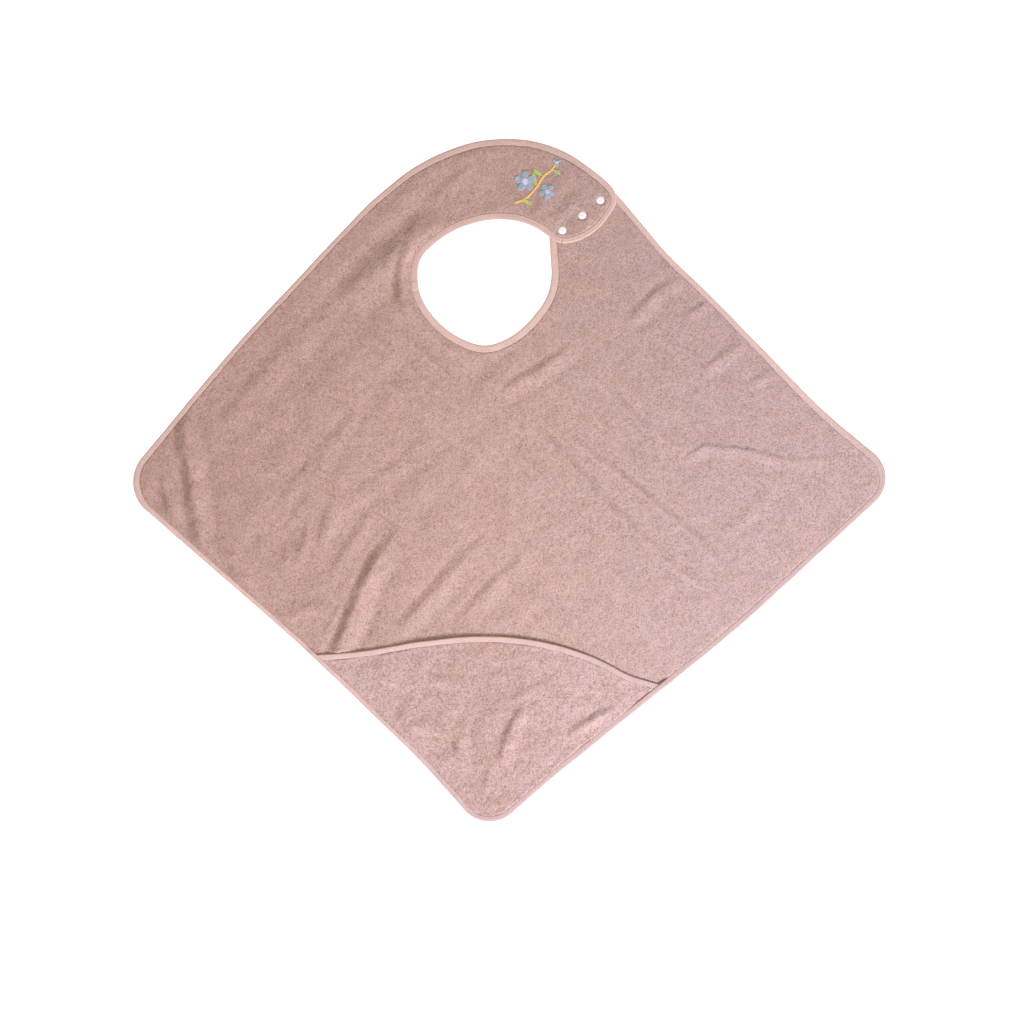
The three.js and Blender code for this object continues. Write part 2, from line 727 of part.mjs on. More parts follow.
// Draws back each end of a tape by half a gap, so that two tapes meet end to end.
function trimmed(stations) {
  const shift = (end, next) => {
    const along = next.point.clone().sub(end.point).setLength(GAP / 2);
    return { ...end, point: end.point.clone().add(along) };
  };
  return [
    shift(stations[0], stations[1]),
    ...stations.slice(1, -1),
    shift(stations.at(-1), stations.at(-2)),
  ];
}

// The outer tape goes on round both ends of the band.
const outerTapeStations = trimmed([
  ...tabEnd.slice(0, -1).map(levelWith(outer[0])),
  ...outer,
  ...shoulderEnd.slice(0, -1).reverse().map(levelWith(outer[SECTIONS])),
]);
const neckTapeStations = trimmed(stationsOf(neck, (s) => s.angle < CLIMB_FROM).reverse());

// The mouth's tape follows the hood's sections, and both its ends are mitred along the outer tape.
function mouthStations() {
  const clear = TAPE_WIDTH + GAP;
  const fold = mouthLine(0, clear);
  const lip = mouthLine(TAPE_WIDTH, clear);
  const mitred = (end) => {
    const normal = lip.at(end).point.clone().sub(fold.at(end).point).divideScalar(TAPE_WIDTH);
    return { ...fold.at(end), normal };
  };
  const between = hoodMouthSections
    .filter((s) => edgeDistance(insetPoint(s, TAPE_WIDTH)) > clear + SECTION_CLEARANCE)
    .map((s) => ({ ...s, point: insetPoint(s, -CLOTH_INSET) }));
  return [mitred(0), ...between, mitred(-1)].reverse();
}
const mouthTapeStations = mouthStations();

add('apron_panel', withSnapHoles(apronGeometry()), terryMaterial);
add('hood_panel', hoodGeometry(), terryMaterial);
add(
  'outer_binding',
  sweptGeometry(outerTapeStations, (s) => tapeProfile(strapLift(s.angle), outerStack(s))),
  tapeMaterial,
);
add(
  'neck_binding',
  sweptGeometry(neckTapeStations, (s) => tapeProfile(strapLift(s.angle), RIM_STACK)),
  tapeMaterial,
);
add(
  'hood_binding',
  sweptGeometry(mouthTapeStations, (s) =>
    tapeProfile(HOOD_LEVEL + mouthLift(insetPoint(s, CLOTH_INSET), 0), RIM_STACK),
  ),
  tapeMaterial,
);

SNAP_PLACES.forEach(({ x, y }, k) => {
  const pieces = { cap: capProfile, socket: socketProfile, stud: studProfile, back: backProfile };
  for (const [piece, profile] of Object.entries(pieces)) {
    add(`snap_${piece}_${k + 1}`, turned(profile), snapMaterial).position.set(x, y, 0);
  }
});

export default towel;
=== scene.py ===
import math
from collections import namedtuple

import bpy
import numpy as np
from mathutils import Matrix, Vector, kdtree
from mathutils.geometry import delaunay_2d_cdt


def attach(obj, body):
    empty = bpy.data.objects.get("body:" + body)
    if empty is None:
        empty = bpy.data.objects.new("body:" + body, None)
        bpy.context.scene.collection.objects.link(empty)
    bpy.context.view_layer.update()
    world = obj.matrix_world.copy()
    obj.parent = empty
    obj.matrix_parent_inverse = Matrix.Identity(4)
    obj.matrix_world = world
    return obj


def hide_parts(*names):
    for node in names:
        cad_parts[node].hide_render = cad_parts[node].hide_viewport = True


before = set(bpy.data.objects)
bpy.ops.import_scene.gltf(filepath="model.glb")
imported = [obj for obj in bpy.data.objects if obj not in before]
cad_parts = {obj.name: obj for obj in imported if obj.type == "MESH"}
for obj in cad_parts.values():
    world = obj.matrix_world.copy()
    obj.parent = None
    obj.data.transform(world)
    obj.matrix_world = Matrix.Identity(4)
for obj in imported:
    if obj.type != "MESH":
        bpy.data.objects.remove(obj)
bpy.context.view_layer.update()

# A hooded apron towel laid out flat. Plan tables are in millimetres, as on a cutting pattern, and
# every mesh is made in metres: +X right, +Y towards the neck, +Z up from the floor.

MM = 0.001


def table(kind, rows):
    return [kind(*row) for row in rows]


# ---- Camera, floor and lights

VIEW_CENTRE = (0.0, -0.051)
VIEW_WIDTH = 1.7646  # what the picture shows at the floor, in metres
LENS = 85.0
SENSOR = 36.0
FLOOR_REACH = 40.0
FLOOR_DROP = 0.0002  # clear of the underside


def add_object(name, data):
    obj = bpy.data.objects.new(name, data)
    bpy.context.scene.collection.objects.link(obj)
    return obj


def make_camera():
    data = bpy.data.cameras.new("camera")
    data.lens = LENS
    data.sensor_width = SENSOR
    camera = add_object("camera", data)
    camera.location = (*VIEW_CENTRE, VIEW_WIDTH * LENS / SENSOR)
    bpy.context.scene.camera = camera


def area_light(name, place, aim, width, power, colour):
    data = bpy.data.lights.new(name, "AREA")
    data.shape = "RECTANGLE"
    data.size = data.size_y = width
    data.energy = power
    data.color = colour
    light = add_object(name, data)
    light.location = place
    direction = Vector(aim) - Vector(place)
    light.rotation_mode = "QUATERNION"
    light.rotation_quaternion = direction.to_track_quat("-Z", "Y")


def make_lights():
    world = bpy.data.worlds.new("studio")
    world.use_nodes = True
    sky = world.node_tree.nodes["Background"]
    sky.inputs["Color"].default_value = (1.0, 0.91, 0.83, 1.0)
    sky.inputs["Strength"].default_value = 0.47
    bpy.context.scene.world = world
    area_light("key", (1.75, -2.3, 1.65), (0, -0.1, 0), width=1.0, power=168.0, colour=(0.945, 1, 1.17))
    area_light("fill", (-0.16, -0.15, 1.75), (-0.1, -0.15, 0), width=1.4, power=10.6, colour=(1, 0.9, 0.78))


def make_floor():
    mesh = bpy.data.meshes.new("floor")
    corners = [(x * FLOOR_REACH, y * FLOOR_REACH, 0) for x, y in ((-1, -1), (1, -1), (1, 1), (-1, 1))]
    mesh.from_pydata(corners, [], [(0, 1, 2, 3)])
    mesh.materials.append(Shader("floor").finish(
        Base_Color=(0.93, 0.93, 0.93, 1), Roughness=0.9, Specular_IOR_Level=0.1,
        Emission_Color=(1, 1, 1, 1), Emission_Strength=0.64,
    ))
    floor = add_object("floor", mesh)
    floor.location.z = -FLOOR_DROP


# ---- Sizes

TAPE_THICK = 0.75
TAPE_UNDER = 12.0  # how far the tape reaches in over the underside
MOUTH_TAPE_UNDER = 10.0
CLOTH_INSET = 2.0  # the cut edge of the terry, inside the fold of the tape
PRESSED = 1.15  # terry squeezed inside a tape
PILE = 3.0  # terry with its pile standing
HOOD_PILE = 3.05
COVERED_PILE = 2.3  # at most, under the hood or the tab
APRON_LEAST = 0.9  # no terry is thinner
HOOD_LEAST = 1.0
RIM_RISE = 1.3  # underside of the terry where it lies in a tape
RIM_STACK = 3.5  # thickness of a tape with the terry in it
HOOD_STACK = 5.5  # the same with the hood sewn in
TAB_LIFT = 4.1
HOOD_LEVEL = 2.8
HOOD_GAP = 0.3  # between the apron's folds and the hood over them
MOUTH_TAPE_WIDTH = 9.6
PILE_STARTS = -0.2  # from a tape's inner edge to where the pile starts to rise
PILE_STANDS = 0.5  # and to where it stands full

# The whole cut, corner by corner: from the tab's inner corner along the outer edge to the shoulder's
# outer corner, and from its inner corner along the neck.
Corner = namedtuple("Corner", "x y r")
OUTER_EDGE = table(Corner, [
    (87, 407, 36), (143, 418, 104), (184, 476, 30), (184, 498, 26), (164, 520, 200), (75, 585, 210),
    (-42, 594, 255), (-152, 555, 340), (-241, 483, 700), (-471, 238, 1800), (-678, -10, 67),
    (-362, -285, 2400), (-150, -489, 1100), (-40, -614, 59), (70, -517, 2400), (390, -260, 2400),
    (680, 7, 56), (547, 114, 900), (345, 322, 1200), (275, 387, 500), (222, 451, 150), (178, 503, 110),
    (128, 534, 26),
])
NECK_EDGE = table(Corner, [
    (66, 456, 24), (74, 326, 105), (17, 253, 148), (-43, 229, 62), (-110, 254, 148), (-159, 319, 98),
    (-159, 384, 57), (-102, 434, 185), (-35, 452, 148), (28, 449, 128),
])

# Angles round the neck, in degrees. They grow past 360 where the shoulder lies under the tab.
NECK_CENTRE = np.array([-41.0, 345.0])
TAB_ANGLE = 26.0  # about where the outline starts
SPLIT_ANGLE = 150.0  # where the apron's two meshed regions meet: strap and body
SPLIT_MARGIN = 25.0  # how far past it a region looks for its outline
STRAP_FROM = -20.0  # the least angle of a point on the strap
BODY_FROM = 145.0  # and on the body
TAB_CLIMBS = (82, 51)  # the strap lifts onto the shoulder
TAB_HELD = (60, 52)  # its underside lies as high as in a tape
TAB_SEAM = (66, 54)  # its stitches move in from the tape's edge
SHOULDER_COVERED = (371, 381)  # the tab starts to cover the shoulder

# The mouth of the hood, from its left tip to its right.
MOUTH = [
    (-352, -303), (-262, -296), (-157, -279), (-52, -269), (52, -278), (139, -304), (208, -337),
    (280, -359),
]
MOUTH_LIFT = 1.5
MOUTH_OPENS = (60, 230)  # the mouth lifts between these lengths from its tips
MOUTH_FALLS = (110, 10)  # the hood lifts between these distances in from its mouth
HOOD_BELOW = -240  # no part of the hood lies above this Y
MOUTH_TUCK = 7.5  # how far inside the outline the mouth's tape ends

# The tape's width on top along the outer edge: (angle round the neck, width).
OUTER_WIDTHS = [
    (26, 10), (48, 10), (62, 10.8), (110, 11), (140, 9), (165, 8), (200, 8), (206, 9.5), (211, 10.8),
    (216, 9.5), (222, 8), (260, 7.8), (268, 9), (278, 10.4), (326, 10), (334, 11.4), (341, 10.5),
    (352, 9.5), (386, 10), (420, 12),
]
NECK_WIDTH = 11.8

SNAPS = [(90, 432.5), (124.5, 458.5), (155.5, 484.5)]
CAP_RADIUS = 7.3
CAP_BASE = 7.5

# Creases: the crest's height, how far it falls away to the left and right of its line's direction,
# that line, and how far along it is highest.
Crease = namedtuple("Crease", "height left right line peak", defaults=(0.5,))
CREASES = table(Crease, [
    (6.9, 38, 34, [(-116, 455), (-160, 423), (-211, 377), (-298, 297)], 0.45),
    (2.2, 28, 22, [(-285, 318), (-372, 233), (-450, 148), (-540, 40)]),
    (5.8, 15, 15, [(-171, 400), (-183, 373), (-187, 343), (-179, 303), (-131, 252), (-76, 216)], 0.32),
    (7.0, 28, 19, [(-584, 150), (-566, 87), (-549, 1), (-537, -90), (-494, -150)], 0.55),
    (4.4, 20, 15, [(-510, -95), (-468, -165), (-436, -232)], 0.6),
    (2.4, 14, 10, [(-602, 14), (-592, -30), (-574, -74)]),
    (7.0, 30, 17, [(-184, -66), (-204, -106), (-240, -155), (-268, -224), (-297, -296), (-316, -350)], 0.56),
    (1.8, 20, 13, [(-244, -160), (-290, -224), (-326, -270)], 0.7),
    (3.3, 26, 16, [(-30, -88), (-62, -122), (-104, -163), (-203, -272)], 0.6),
    (2.1, 24, 14, [(50, -114), (-26, -181), (-100, -254)]),
    (3.4, 22, 13, [(300, 352), (250, 318), (196, 266)]),
    (1.8, 16, 10, [(350, 316), (325, 296), (300, 282)]),
    (2.2, 18, 11, [(405, 240), (372, 215), (330, 186)]),
    (1.5, 16, 10, [(450, 190), (425, 172), (400, 162)]),
    (1.9, 5, 18, [(298, 34), (320, 51), (346, 59), (403, 52), (490, 36), (565, 35)], 0.36),
    (2.8, 22, 13, [(116, 238), (50, 190), (-22, 144)]),
    (1.2, 22, 14, [(-222, 180), (-290, 90), (-389, -103)]),
    (1.2, 22, 12, [(-262, 120), (-350, 20), (-432, -86)]),
    (1.3, 24, 14, [(-112, 98), (-205, 16), (-303, -51)]),
    (2.0, 18, 12, [(-296, -16), (-318, -80), (-335, -150)]),
    (1.8, 16, 10, [(-345, -60), (-356, -110), (-372, -150)]),
    (2.2, 20, 12, [(-390, -236), (-345, -226), (-296, -236)]),
    (1.1, 20, 14, [(-330, 260), (-392, 190), (-470, 80)]),
    (1.5, 20, 14, [(-215, -32), (-262, -92), (-322, -190)]),
    (1.1, 18, 14, [(467, 0), (420, -50), (372, -94)]),
    (1.0, 20, 14, [(150, -40), (60, -92), (-10, -150)]),
    (1.8, 20, 12, [(52, 424), (88, 456), (128, 492)]),
    (1.2, 18, 12, [(-60, 548), (-110, 505), (-150, 468)]),
])
HOOD_CREASES = table(Crease, [
    (5.4, 24, 15, [(30, -384), (8, -420), (-8, -462), (-20, -500)]),
    (3.4, 24, 14, [(196, -392), (150, -412), (96, -446)]),
    (4.2, 20, 14, [(-132, -428), (-96, -446), (-74, -500)]),
    (4.4, 22, 16, [(-196, -398), (-164, -422), (-124, -432)]),
    (2.6, 18, 12, [(-170, -322), (-126, -348), (-70, -352)]),
    (2.0, 18, 14, [(70, -345), (20, -372), (-22, -376)]),
    (2.6, 18, 12, [(-240, -330), (-200, -352), (-160, -358)]),
    (2.4, 18, 14, [(-58, -470), (-36, -500), (-40, -540)]),
])

# Where the towel was folded in its packing, the cloth is pressed into a fine sharp line.
PRESSED_LINES = table(Crease, [
    (2.8, 11, 9, [(10, 122), (26, 105), (104, 35), (190, -60), (294, -155), (372, -204)]),
    (2.3, 9, 8, [(70, 100), (86, 87), (225, -16), (363, -138), (404, -194)]),
    (1.5, 9, 8, [(96, 230), (104, 222), (225, 105), (316, 40)]),
    (1.8, 9, 8, [(-268, 276), (-260, 269), (-180, 205), (-90, 128)]),
    (1.5, 9, 8, [(-226, 284), (-150, 222), (-64, 148)]),
    (1.2, 10, 8, [(-60, 128), (20, 40), (110, -40)]),
])

# ---- Numbers over arrays


def share(start, end, value):
    return np.clip((value - start) / (end - start), 0.0, 1.0)


def ease(start, end, value):
    t = share(start, end, value)
    return t * t * (3 - 2 * t)


def mix(a, b, t):
    return a + (b - a) * t


NOISE_GRID = 256


def noise(x, y, size, seed):
    """Smooth noise from -1 to 1 with lumps of about that size."""
    grid = np.random.default_rng(seed).uniform(-1, 1, (NOISE_GRID, NOISE_GRID))
    u, v = np.asarray(x) / size, np.asarray(y) / size
    i, j = np.floor(u).astype(int), np.floor(v).astype(int)
    s, t = ease(0, 1, u - i), ease(0, 1, v - j)
    i, j, k, m = (n % NOISE_GRID for n in (i, j, i + 1, j + 1))
    return mix(mix(grid[i, j], grid[k, j], s), mix(grid[i, m], grid[k, m], s), t)


def waver(length, size, seed):
    return noise(length, 0 * length, size, seed)


def unit(v):
    return v / np.linalg.norm(v, axis=-1, keepdims=True)


def left_of(v):
    return np.stack([-v[..., 1], v[..., 0]], axis=-1)


def full_turn(count):
    return np.linspace(0, 2 * math.pi, count, endpoint=False)


def lengths_along(line):
    return np.concatenate([[0], np.cumsum(np.linalg.norm(np.diff(line, axis=0), axis=1))])


def smooth_line(points, step):
    """A Catmull-Rom curve through points in plan, as evenly spaced points."""
    p = np.array(points, float)
    p = np.concatenate([[2 * p[0] - p[1]], p, [2 * p[-1] - p[-2]]])
    t = np.linspace(0, 1, 24, endpoint=False)[:, None]
    parts = [
        (2 * b + (c - a) * t + (2 * a - 5 * b + 4 * c - d) * t**2 + (3 * b - a - 3 * c + d) * t**3) / 2
        for a, b, c, d in zip(p, p[1:], p[2:], p[3:])
    ]
    line = np.concatenate([*parts, p[-2:-1]])
    along = lengths_along(line)
    even = np.linspace(0, along[-1], max(2, round(along[-1] / step) + 1))
    return np.stack([np.interp(even, along, line[:, k]) for k in (0, 1)], axis=1)


class Run:
    """Samples along a line in plan: points, normals to its left, lengths and angles round the neck."""

    def __init__(self, point, normal, start_angle=0.0):
        self.point, self.normal = np.array(point, float), np.array(normal, float)
        self.length = lengths_along(self.point)
        d = self.point - NECK_CENTRE
        angle = np.degrees(np.unwrap(np.arctan2(d[:, 1], d[:, 0])))
        self.angle = angle + 360 * np.round((start_angle - angle[0]) / 360)

    def at(self, length):
        """The run sampled afresh at these lengths."""
        columns = [np.interp(length, self.length, c) for c in (*self.point.T, *self.normal.T, self.angle)]
        made = Run.__new__(Run)
        made.point, made.normal = np.stack(columns[:2], axis=1), unit(np.stack(columns[2:4], axis=1))
        made.angle, made.length = columns[4], length - length[0]
        return made

    def inset(self, distance):
        return self.point + np.reshape(distance, (-1, 1)) * self.normal

    def beside(self, points):
        """Each point's distance, how far to the run's left it lies, and its nearest sample."""
        distance, k = nearest(points, self.point)
        return distance, ((points - self.point[k]) * self.normal[k]).sum(axis=1), k


def corner_arc(before, corner, after, step):
    last, here, follow = np.array([before[:2], corner[:2], after[:2]], float)
    into, out = unit(here - last), unit(follow - here)
    turn = math.atan2(into[0] * out[1] - into[1] * out[0], into @ out)
    start = here - into * corner.r * math.tan(abs(turn) / 2)
    side = math.copysign(1, turn)
    centre = start + left_of(into) * side * corner.r
    half = math.ceil(abs(turn) * corner.r / step / 2) + 1
    angles = (turn * np.arange(2 * half + 1) / (2 * half))[:, None]
    normals = np.cos(angles) * left_of(into) - np.sin(angles) * into
    return centre - side * corner.r * normals, normals


def rounded_loop(corners, step):
    """A closed line of rounded corners: points, normals and each corner's middle."""
    around = zip(corners[-1:] + corners, corners, corners[1:] + corners[:1])
    arcs = [corner_arc(*three, step) for three in around]
    points, normals, middles, total = [], [], [], 0
    for (p, n), (follow, _) in zip(arcs, arcs[1:] + arcs[:1]):
        middles.append(total + len(p) // 2)
        pieces = max(1, math.ceil(np.linalg.norm(follow[0] - p[-1]) / step))
        points += [p, mix(p[-1], follow[0], np.arange(1, pieces)[:, None] / pieces)]
        normals += [n, np.repeat(n[-1:], pieces - 1, axis=0)]
        total += len(p) + pieces - 1
    return np.concatenate(points), np.concatenate(normals), middles


def cut_outline():
    """The whole cut as one run from the tab's inner corner, and its outer edge's length."""
    points, normals, middles = rounded_loop(OUTER_EDGE + NECK_EDGE, 1.5)
    first = middles[0]
    order = (np.arange(len(points) + 1) + first) % len(points)
    closed = Run(points[order], normals[order], TAB_ANGLE)
    return closed, closed.length[middles[len(OUTER_EDGE)] - first]


OUTLINE, OUTER_LENGTH = cut_outline()
MOUTH_LINE = smooth_line(MOUTH, 1.5)
MOUTH_RUN = Run(MOUTH_LINE, -left_of(unit(np.gradient(MOUTH_LINE, axis=0))))

# ---- Heights


def strap_lift(angle):
    return TAB_LIFT * ease(*TAB_CLIMBS, angle)


RUN_SETTLES = 18.0  # a tape's unevenness fades over this length to its ends


def tape_width(length, angle):
    """How wide the tape shows at a place of the outline."""
    outer = np.interp(angle, *np.array(OUTER_WIDTHS, float).T)
    to_end = OUTLINE.length[-1] - length
    wander = 0.5 * waver(length, 70, 11) + 0.25 * waver(length, 19, 12)
    wander = wander * ease(0, RUN_SETTLES, np.minimum(length, to_end))
    neck = mix(outer, NECK_WIDTH, ease(0, 50, to_end))
    return np.where(length <= OUTER_LENGTH, outer, neck) + wander


OUTLINE_WIDTH = tape_width(OUTLINE.length, OUTLINE.angle)


def nearest(points, targets):
    """Distance to, and index of, the nearest target for each point."""
    tree = kdtree.KDTree(len(targets))
    for k, (x, y) in enumerate(targets.tolist()):
        tree.insert((x, y, 0), k)
    tree.balance()
    _, index, distance = zip(*(tree.find((x, y, 0)) for x, y in points.tolist()))
    return np.array(distance), np.array(index)


def crease_height(creases, points):
    """How high the creases stand at each point, with a low trough along each one's foot."""
    x, y = points.T
    points = points + 2.4 * np.column_stack([noise(x, y, 26, 22), noise(x, y, 26, 23)])
    total = np.zeros(len(points))
    for crease in creases:
        line = smooth_line(crease.line, 6)
        reach = 1.6 * max(crease.left, crease.right)
        low, high = line.min(axis=0) - reach, line.max(axis=0) + reach
        near = np.flatnonzero(((points > low) & (points < high)).all(axis=1))
        best, at, side = np.full(len(near), 1e9), np.zeros(len(near)), np.zeros(len(near))
        for k in range(len(line) - 1):
            a, along = line[k], line[k + 1] - line[k]
            t = np.clip((points[near] - a) @ along / (along @ along), 0, 1)
            off = points[near] - a - t[:, None] * along
            d = np.linalg.norm(off, axis=1)
            closer = d < best
            best = np.where(closer, d, best)
            at = np.where(closer, (k + t) / (len(line) - 1), at)
            side = np.where(closer, off @ left_of(along), side)
        u = best / np.where(side > 0, crease.left, crease.right)
        ridge = ease(1, 0, u) - 0.16 * ease(1.6, 1.15, u) * ease(0.7, 1.15, u)
        at = at ** (math.log(0.5) / math.log(crease.peak))
        taper = 1 - np.abs(2 * at - 1) ** 2.4
        ripple = 1 + 0.3 * noise(x[near], y[near], 34, 21) + 0.18 * noise(x[near], y[near], 13, 24)
        total[near] += crease.height * ripple * taper * ridge
    return total


def mouth_rise(along, inset):
    """How far the hood lifts, at a length along its mouth and a distance in from it."""
    from_tip = np.minimum(along, MOUTH_RUN.length[-1] - along)
    return MOUTH_LIFT * ease(*MOUTH_OPENS, from_tip) * ease(*MOUTH_FALLS, inset)


def rolling(points):
    """The slow unevenness of cloth that lies loose on a floor."""
    x, y = points.T
    across, down = (x + y) * math.sqrt(0.5), (x - y) * math.sqrt(0.5)
    leftward = ease(140, -60, x)
    return (
        0.5 * noise(across, down, 130, 31)
        + mix(0.15, 1.7, leftward) * noise(across / 3.4, down, 34, 32)
        + mix(0.35, 0.1, leftward) * noise(across, down / 3.0, 38, 34)
        + 0.18 * noise(x, y, 30, 33)
        + mix(0.16, 0.32, leftward) * noise(x, y, 12, 35)
    )


def pile(points, seed, size, amount):
    """The loops of the pile, in lumps and single points."""
    x, y = points.T
    lumps = noise(x, y, 4.2 * size, seed) + 0.8 * noise(x, y, 2.1 * size, seed + 1)
    scatter = np.random.default_rng(seed + 2).uniform(-1, 1, len(points))
    return amount * (0.5 * lumps + 0.28 * scatter)


def standing_free(inset, width):
    """How free the pile is: squeezed well under a tape, a little at its edge, fully beyond it."""
    at_edge = share(width - 3.2, width - 0.6, inset)
    beyond = share(width + PILE_STARTS, width + PILE_STANDS, inset)
    return 0.3 * at_edge + 0.7 * beyond


class Plan:
    """Points of the apron's strap or body in plan, with what their heights depend on."""

    def __init__(self, points, strap):
        self.point, self.strap = points, strap
        x, y = (points - NECK_CENTRE).T
        low = STRAP_FROM if strap else BODY_FROM
        self.angle = low + (np.degrees(np.arctan2(y, x)) - low) % 360
        beyond = OUTLINE.angle - SPLIT_ANGLE
        near = beyond < SPLIT_MARGIN if strap else beyond > -SPLIT_MARGIN
        self.inset, k = nearest(points, OUTLINE.point[near])
        self.width = OUTLINE_WIDTH[near][k]

    def levels(self, standing=1.0):
        """Underside and top of the apron, with its pile standing or brushed smooth."""
        points, inset, width, lift = self.point, self.inset, self.width, strap_lift(self.angle)
        free = standing_free(inset, width)
        covered = ease(*SHOULDER_COVERED, self.angle)
        held = np.maximum(ease(*TAB_HELD, self.angle), covered)
        depth, roof = self.hood_cover()
        folds = crease_height(CREASES + PRESSED_LINES, points) + rolling(points)
        folds = folds * ease(width - 2, width + 14, inset) * (1 - covered) * ease(60, 10, depth)
        under = lift + RIM_RISE * np.maximum(1 - free, held)
        thick = mix(PRESSED, PILE, free) + 0.3 * free * ease(width + 26, width + 9, inset)
        thick = mix(thick, np.minimum(thick, COVERED_PILE), np.maximum(ease(-6, 1, depth), covered))
        open_air = 20 * ease(0, -9, depth)
        folds = np.minimum(folds, np.maximum(roof - HOOD_GAP - under - thick + open_air, 0))
        top = under + thick + folds + standing * free * pile(points, 41, 1.0, 0.32)
        flap = np.maximum(width, TAPE_UNDER)
        over_flap = share(flap + 10, flap + 1.5, inset)
        low = lift + RIM_RISE * np.maximum(over_flap, held) + np.maximum(folds, 0)
        return low, np.maximum(self.under_snaps(top), low + APRON_LEAST)

    def hood_cover(self):
        """How far in under the hood each point lies, and the hood's underside there."""
        distance, inward, k = MOUTH_RUN.beside(self.point)
        depth = np.where(self.point[:, 1] < HOOD_BELOW, np.copysign(distance, inward), -1000)
        return depth, HOOD_LEVEL + mouth_rise(MOUTH_RUN.length[k], np.maximum(depth, 0))

    def under_snaps(self, top):
        """The top, pressed flat under the caps and puffed up round them."""
        if not self.strap:
            return top
        for place in SNAPS:
            away = np.linalg.norm(self.point - place, axis=1) - CAP_RADIUS
            rim = 0.35 * ease(6, 2.5, away) * ease(0, 2.5, away)
            top = mix(top + rim, np.minimum(top, CAP_BASE - 0.12), ease(2.2, 0.3, away))
        return top


# ---- Meshes


def mesh_object(name, points, faces):
    """An object from points in millimetres and faces, smooth but for caps of many sides."""
    mesh = bpy.data.meshes.new(name)
    mesh.from_pydata((points * MM).tolist(), [], faces)
    mesh.validate()
    mesh.polygons.foreach_set("use_smooth", [face.loop_total <= 4 for face in mesh.polygons])
    return add_object(name, mesh)


def crossings(boundary, row):
    """Where a closed line crosses one row, from left to right."""
    a, b = boundary, np.roll(boundary, -1, axis=0)
    crossed = (a[:, 1] <= row) != (b[:, 1] <= row)
    a, b = a[crossed], b[crossed]
    return np.sort(a[:, 0] + (row - a[:, 1]) / (b[:, 1] - a[:, 1]) * (b[:, 0] - a[:, 0]))


def inside(boundary, columns, row):
    """Which of these columns lie inside a closed line, at one row."""
    return np.searchsorted(crossings(boundary, row), columns) % 2 == 1


def fill(boundary, spacing, seed, guides=()):
    """Points and triangles inside a closed line: its own points, its guides, then a grid."""
    low, high = boundary.min(axis=0), boundary.max(axis=0)
    columns = np.arange(low[0] - spacing, high[0], spacing)
    inner = []
    for k, row in enumerate(np.arange(low[1] + 0.01, high[1], spacing * math.sqrt(0.75))):
        x = columns + (k % 2) * spacing / 2
        x = x[inside(boundary, x, row)]
        inner.append(np.column_stack([x, np.full(len(x), row)]))
    inner = np.concatenate(inner)
    inner = inner[nearest(inner, boundary)[0] > 0.7 * spacing]
    inner += np.random.default_rng(seed).uniform(-0.16, 0.16, inner.shape) * spacing
    if len(guides):
        guides = guides[[inside(boundary, x, y) for x, y in guides]]
        guides = guides[nearest(guides, boundary)[0] > 0.5 * spacing]
        inner = inner[nearest(inner, guides)[0] > 0.6 * spacing]
        inner = np.concatenate([guides, inner])
    everything = np.concatenate([boundary, inner])
    corners = [Vector(p) for p in everything.tolist()]
    rim = [list(range(len(boundary)))]
    _, _, faces, source, _, within = delaunay_2d_cdt(corners, [], rim, 1, 1e-6, True)
    source = np.array([s[0] for s in source])
    faces = source[np.array([face for face, kept in zip(faces, within) if kept])]
    a, b, c = (everything[faces[:, k]] for k in range(3))
    faces = np.where((np.cross(b - a, c - a) < 0)[:, None], faces[:, ::-1], faces)
    return everything, faces


# The attribute that carries painted shade along the packing lines.
PRESSED_LINE_SHADE = "pressed"


def paint_pressed_line_shade(obj, top):
    """Marks on the top the painted shade along the packing lines, deeper where the pile is pressed down
    harder.
    """
    narrow = [crease._replace(left=5, right=5) for crease in PRESSED_LINES]
    marks = np.zeros(len(obj.data.vertices))
    marks[: len(top)] = 0.22 * crease_height(narrow, top[:, :2])
    attribute = obj.data.attributes.new(PRESSED_LINE_SHADE, "FLOAT", "POINT")
    attribute.data.foreach_set("value", np.clip(marks, 0, 1))


def beside_tape(run, width, spacing):
    """Points where the pile starts to rise and where it stands, along a tape."""
    along = np.arange(0, run.length[-1], spacing)
    edge = run.at(along)
    shown = np.interp(along, run.length, width)
    return np.concatenate([edge.inset(shown + PILE_STARTS), edge.inset(shown + PILE_STANDS)])


def closed_sheet(name, top, under):
    """A sheet from its top and its underside, each as points, triangles and rim."""
    (top_points, top_faces, top_rim), (under_points, under_faces, under_rim) = top, under
    points = np.concatenate([top_points, under_points])
    shift = len(top_points)
    a, b = top_rim, np.roll(top_rim, -1)
    c, d = np.roll(under_rim, -1) + shift, under_rim + shift
    wall = np.concatenate([np.stack([a, d, c], axis=1), np.stack([a, c, b], axis=1)])
    faces = np.concatenate([top_faces, under_faces[:, ::-1] + shift, wall])
    return mesh_object(name, points, faces.tolist())


def tube_faces(rings, sides):
    """A closed tube's quads and two end caps, for points that come ring by ring."""
    a = np.arange((rings - 1) * sides)
    b = a - a % sides + (a + 1) % sides
    quads = np.stack([a, b, b + sides, a + sides], axis=1).tolist()
    return [*quads, list(range(sides))[::-1], list(range((rings - 1) * sides, rings * sides))]


THREAD_SIDES = 5


def tube_points(centre, height, radius, across):
    """A thread's rings round a line in plan, with its height, radius and crosswise direction."""
    turn = full_turn(THREAD_SIDES)
    radius = radius[:, None]
    plan = centre[:, None, :] + (radius * np.cos(turn))[:, :, None] * across[:, None, :]
    z = height[:, None] + radius * np.sin(turn)
    return np.concatenate([plan, z[:, :, None]], axis=2).reshape(-1, 3)


def joined(parts):
    """Several parts' points and faces as one."""
    points, faces, shift = [], [], 0
    for part_points, part_faces in parts:
        points.append(part_points)
        faces += [[k + shift for k in face] for face in part_faces]
        shift += len(part_points)
    return np.concatenate(points), faces


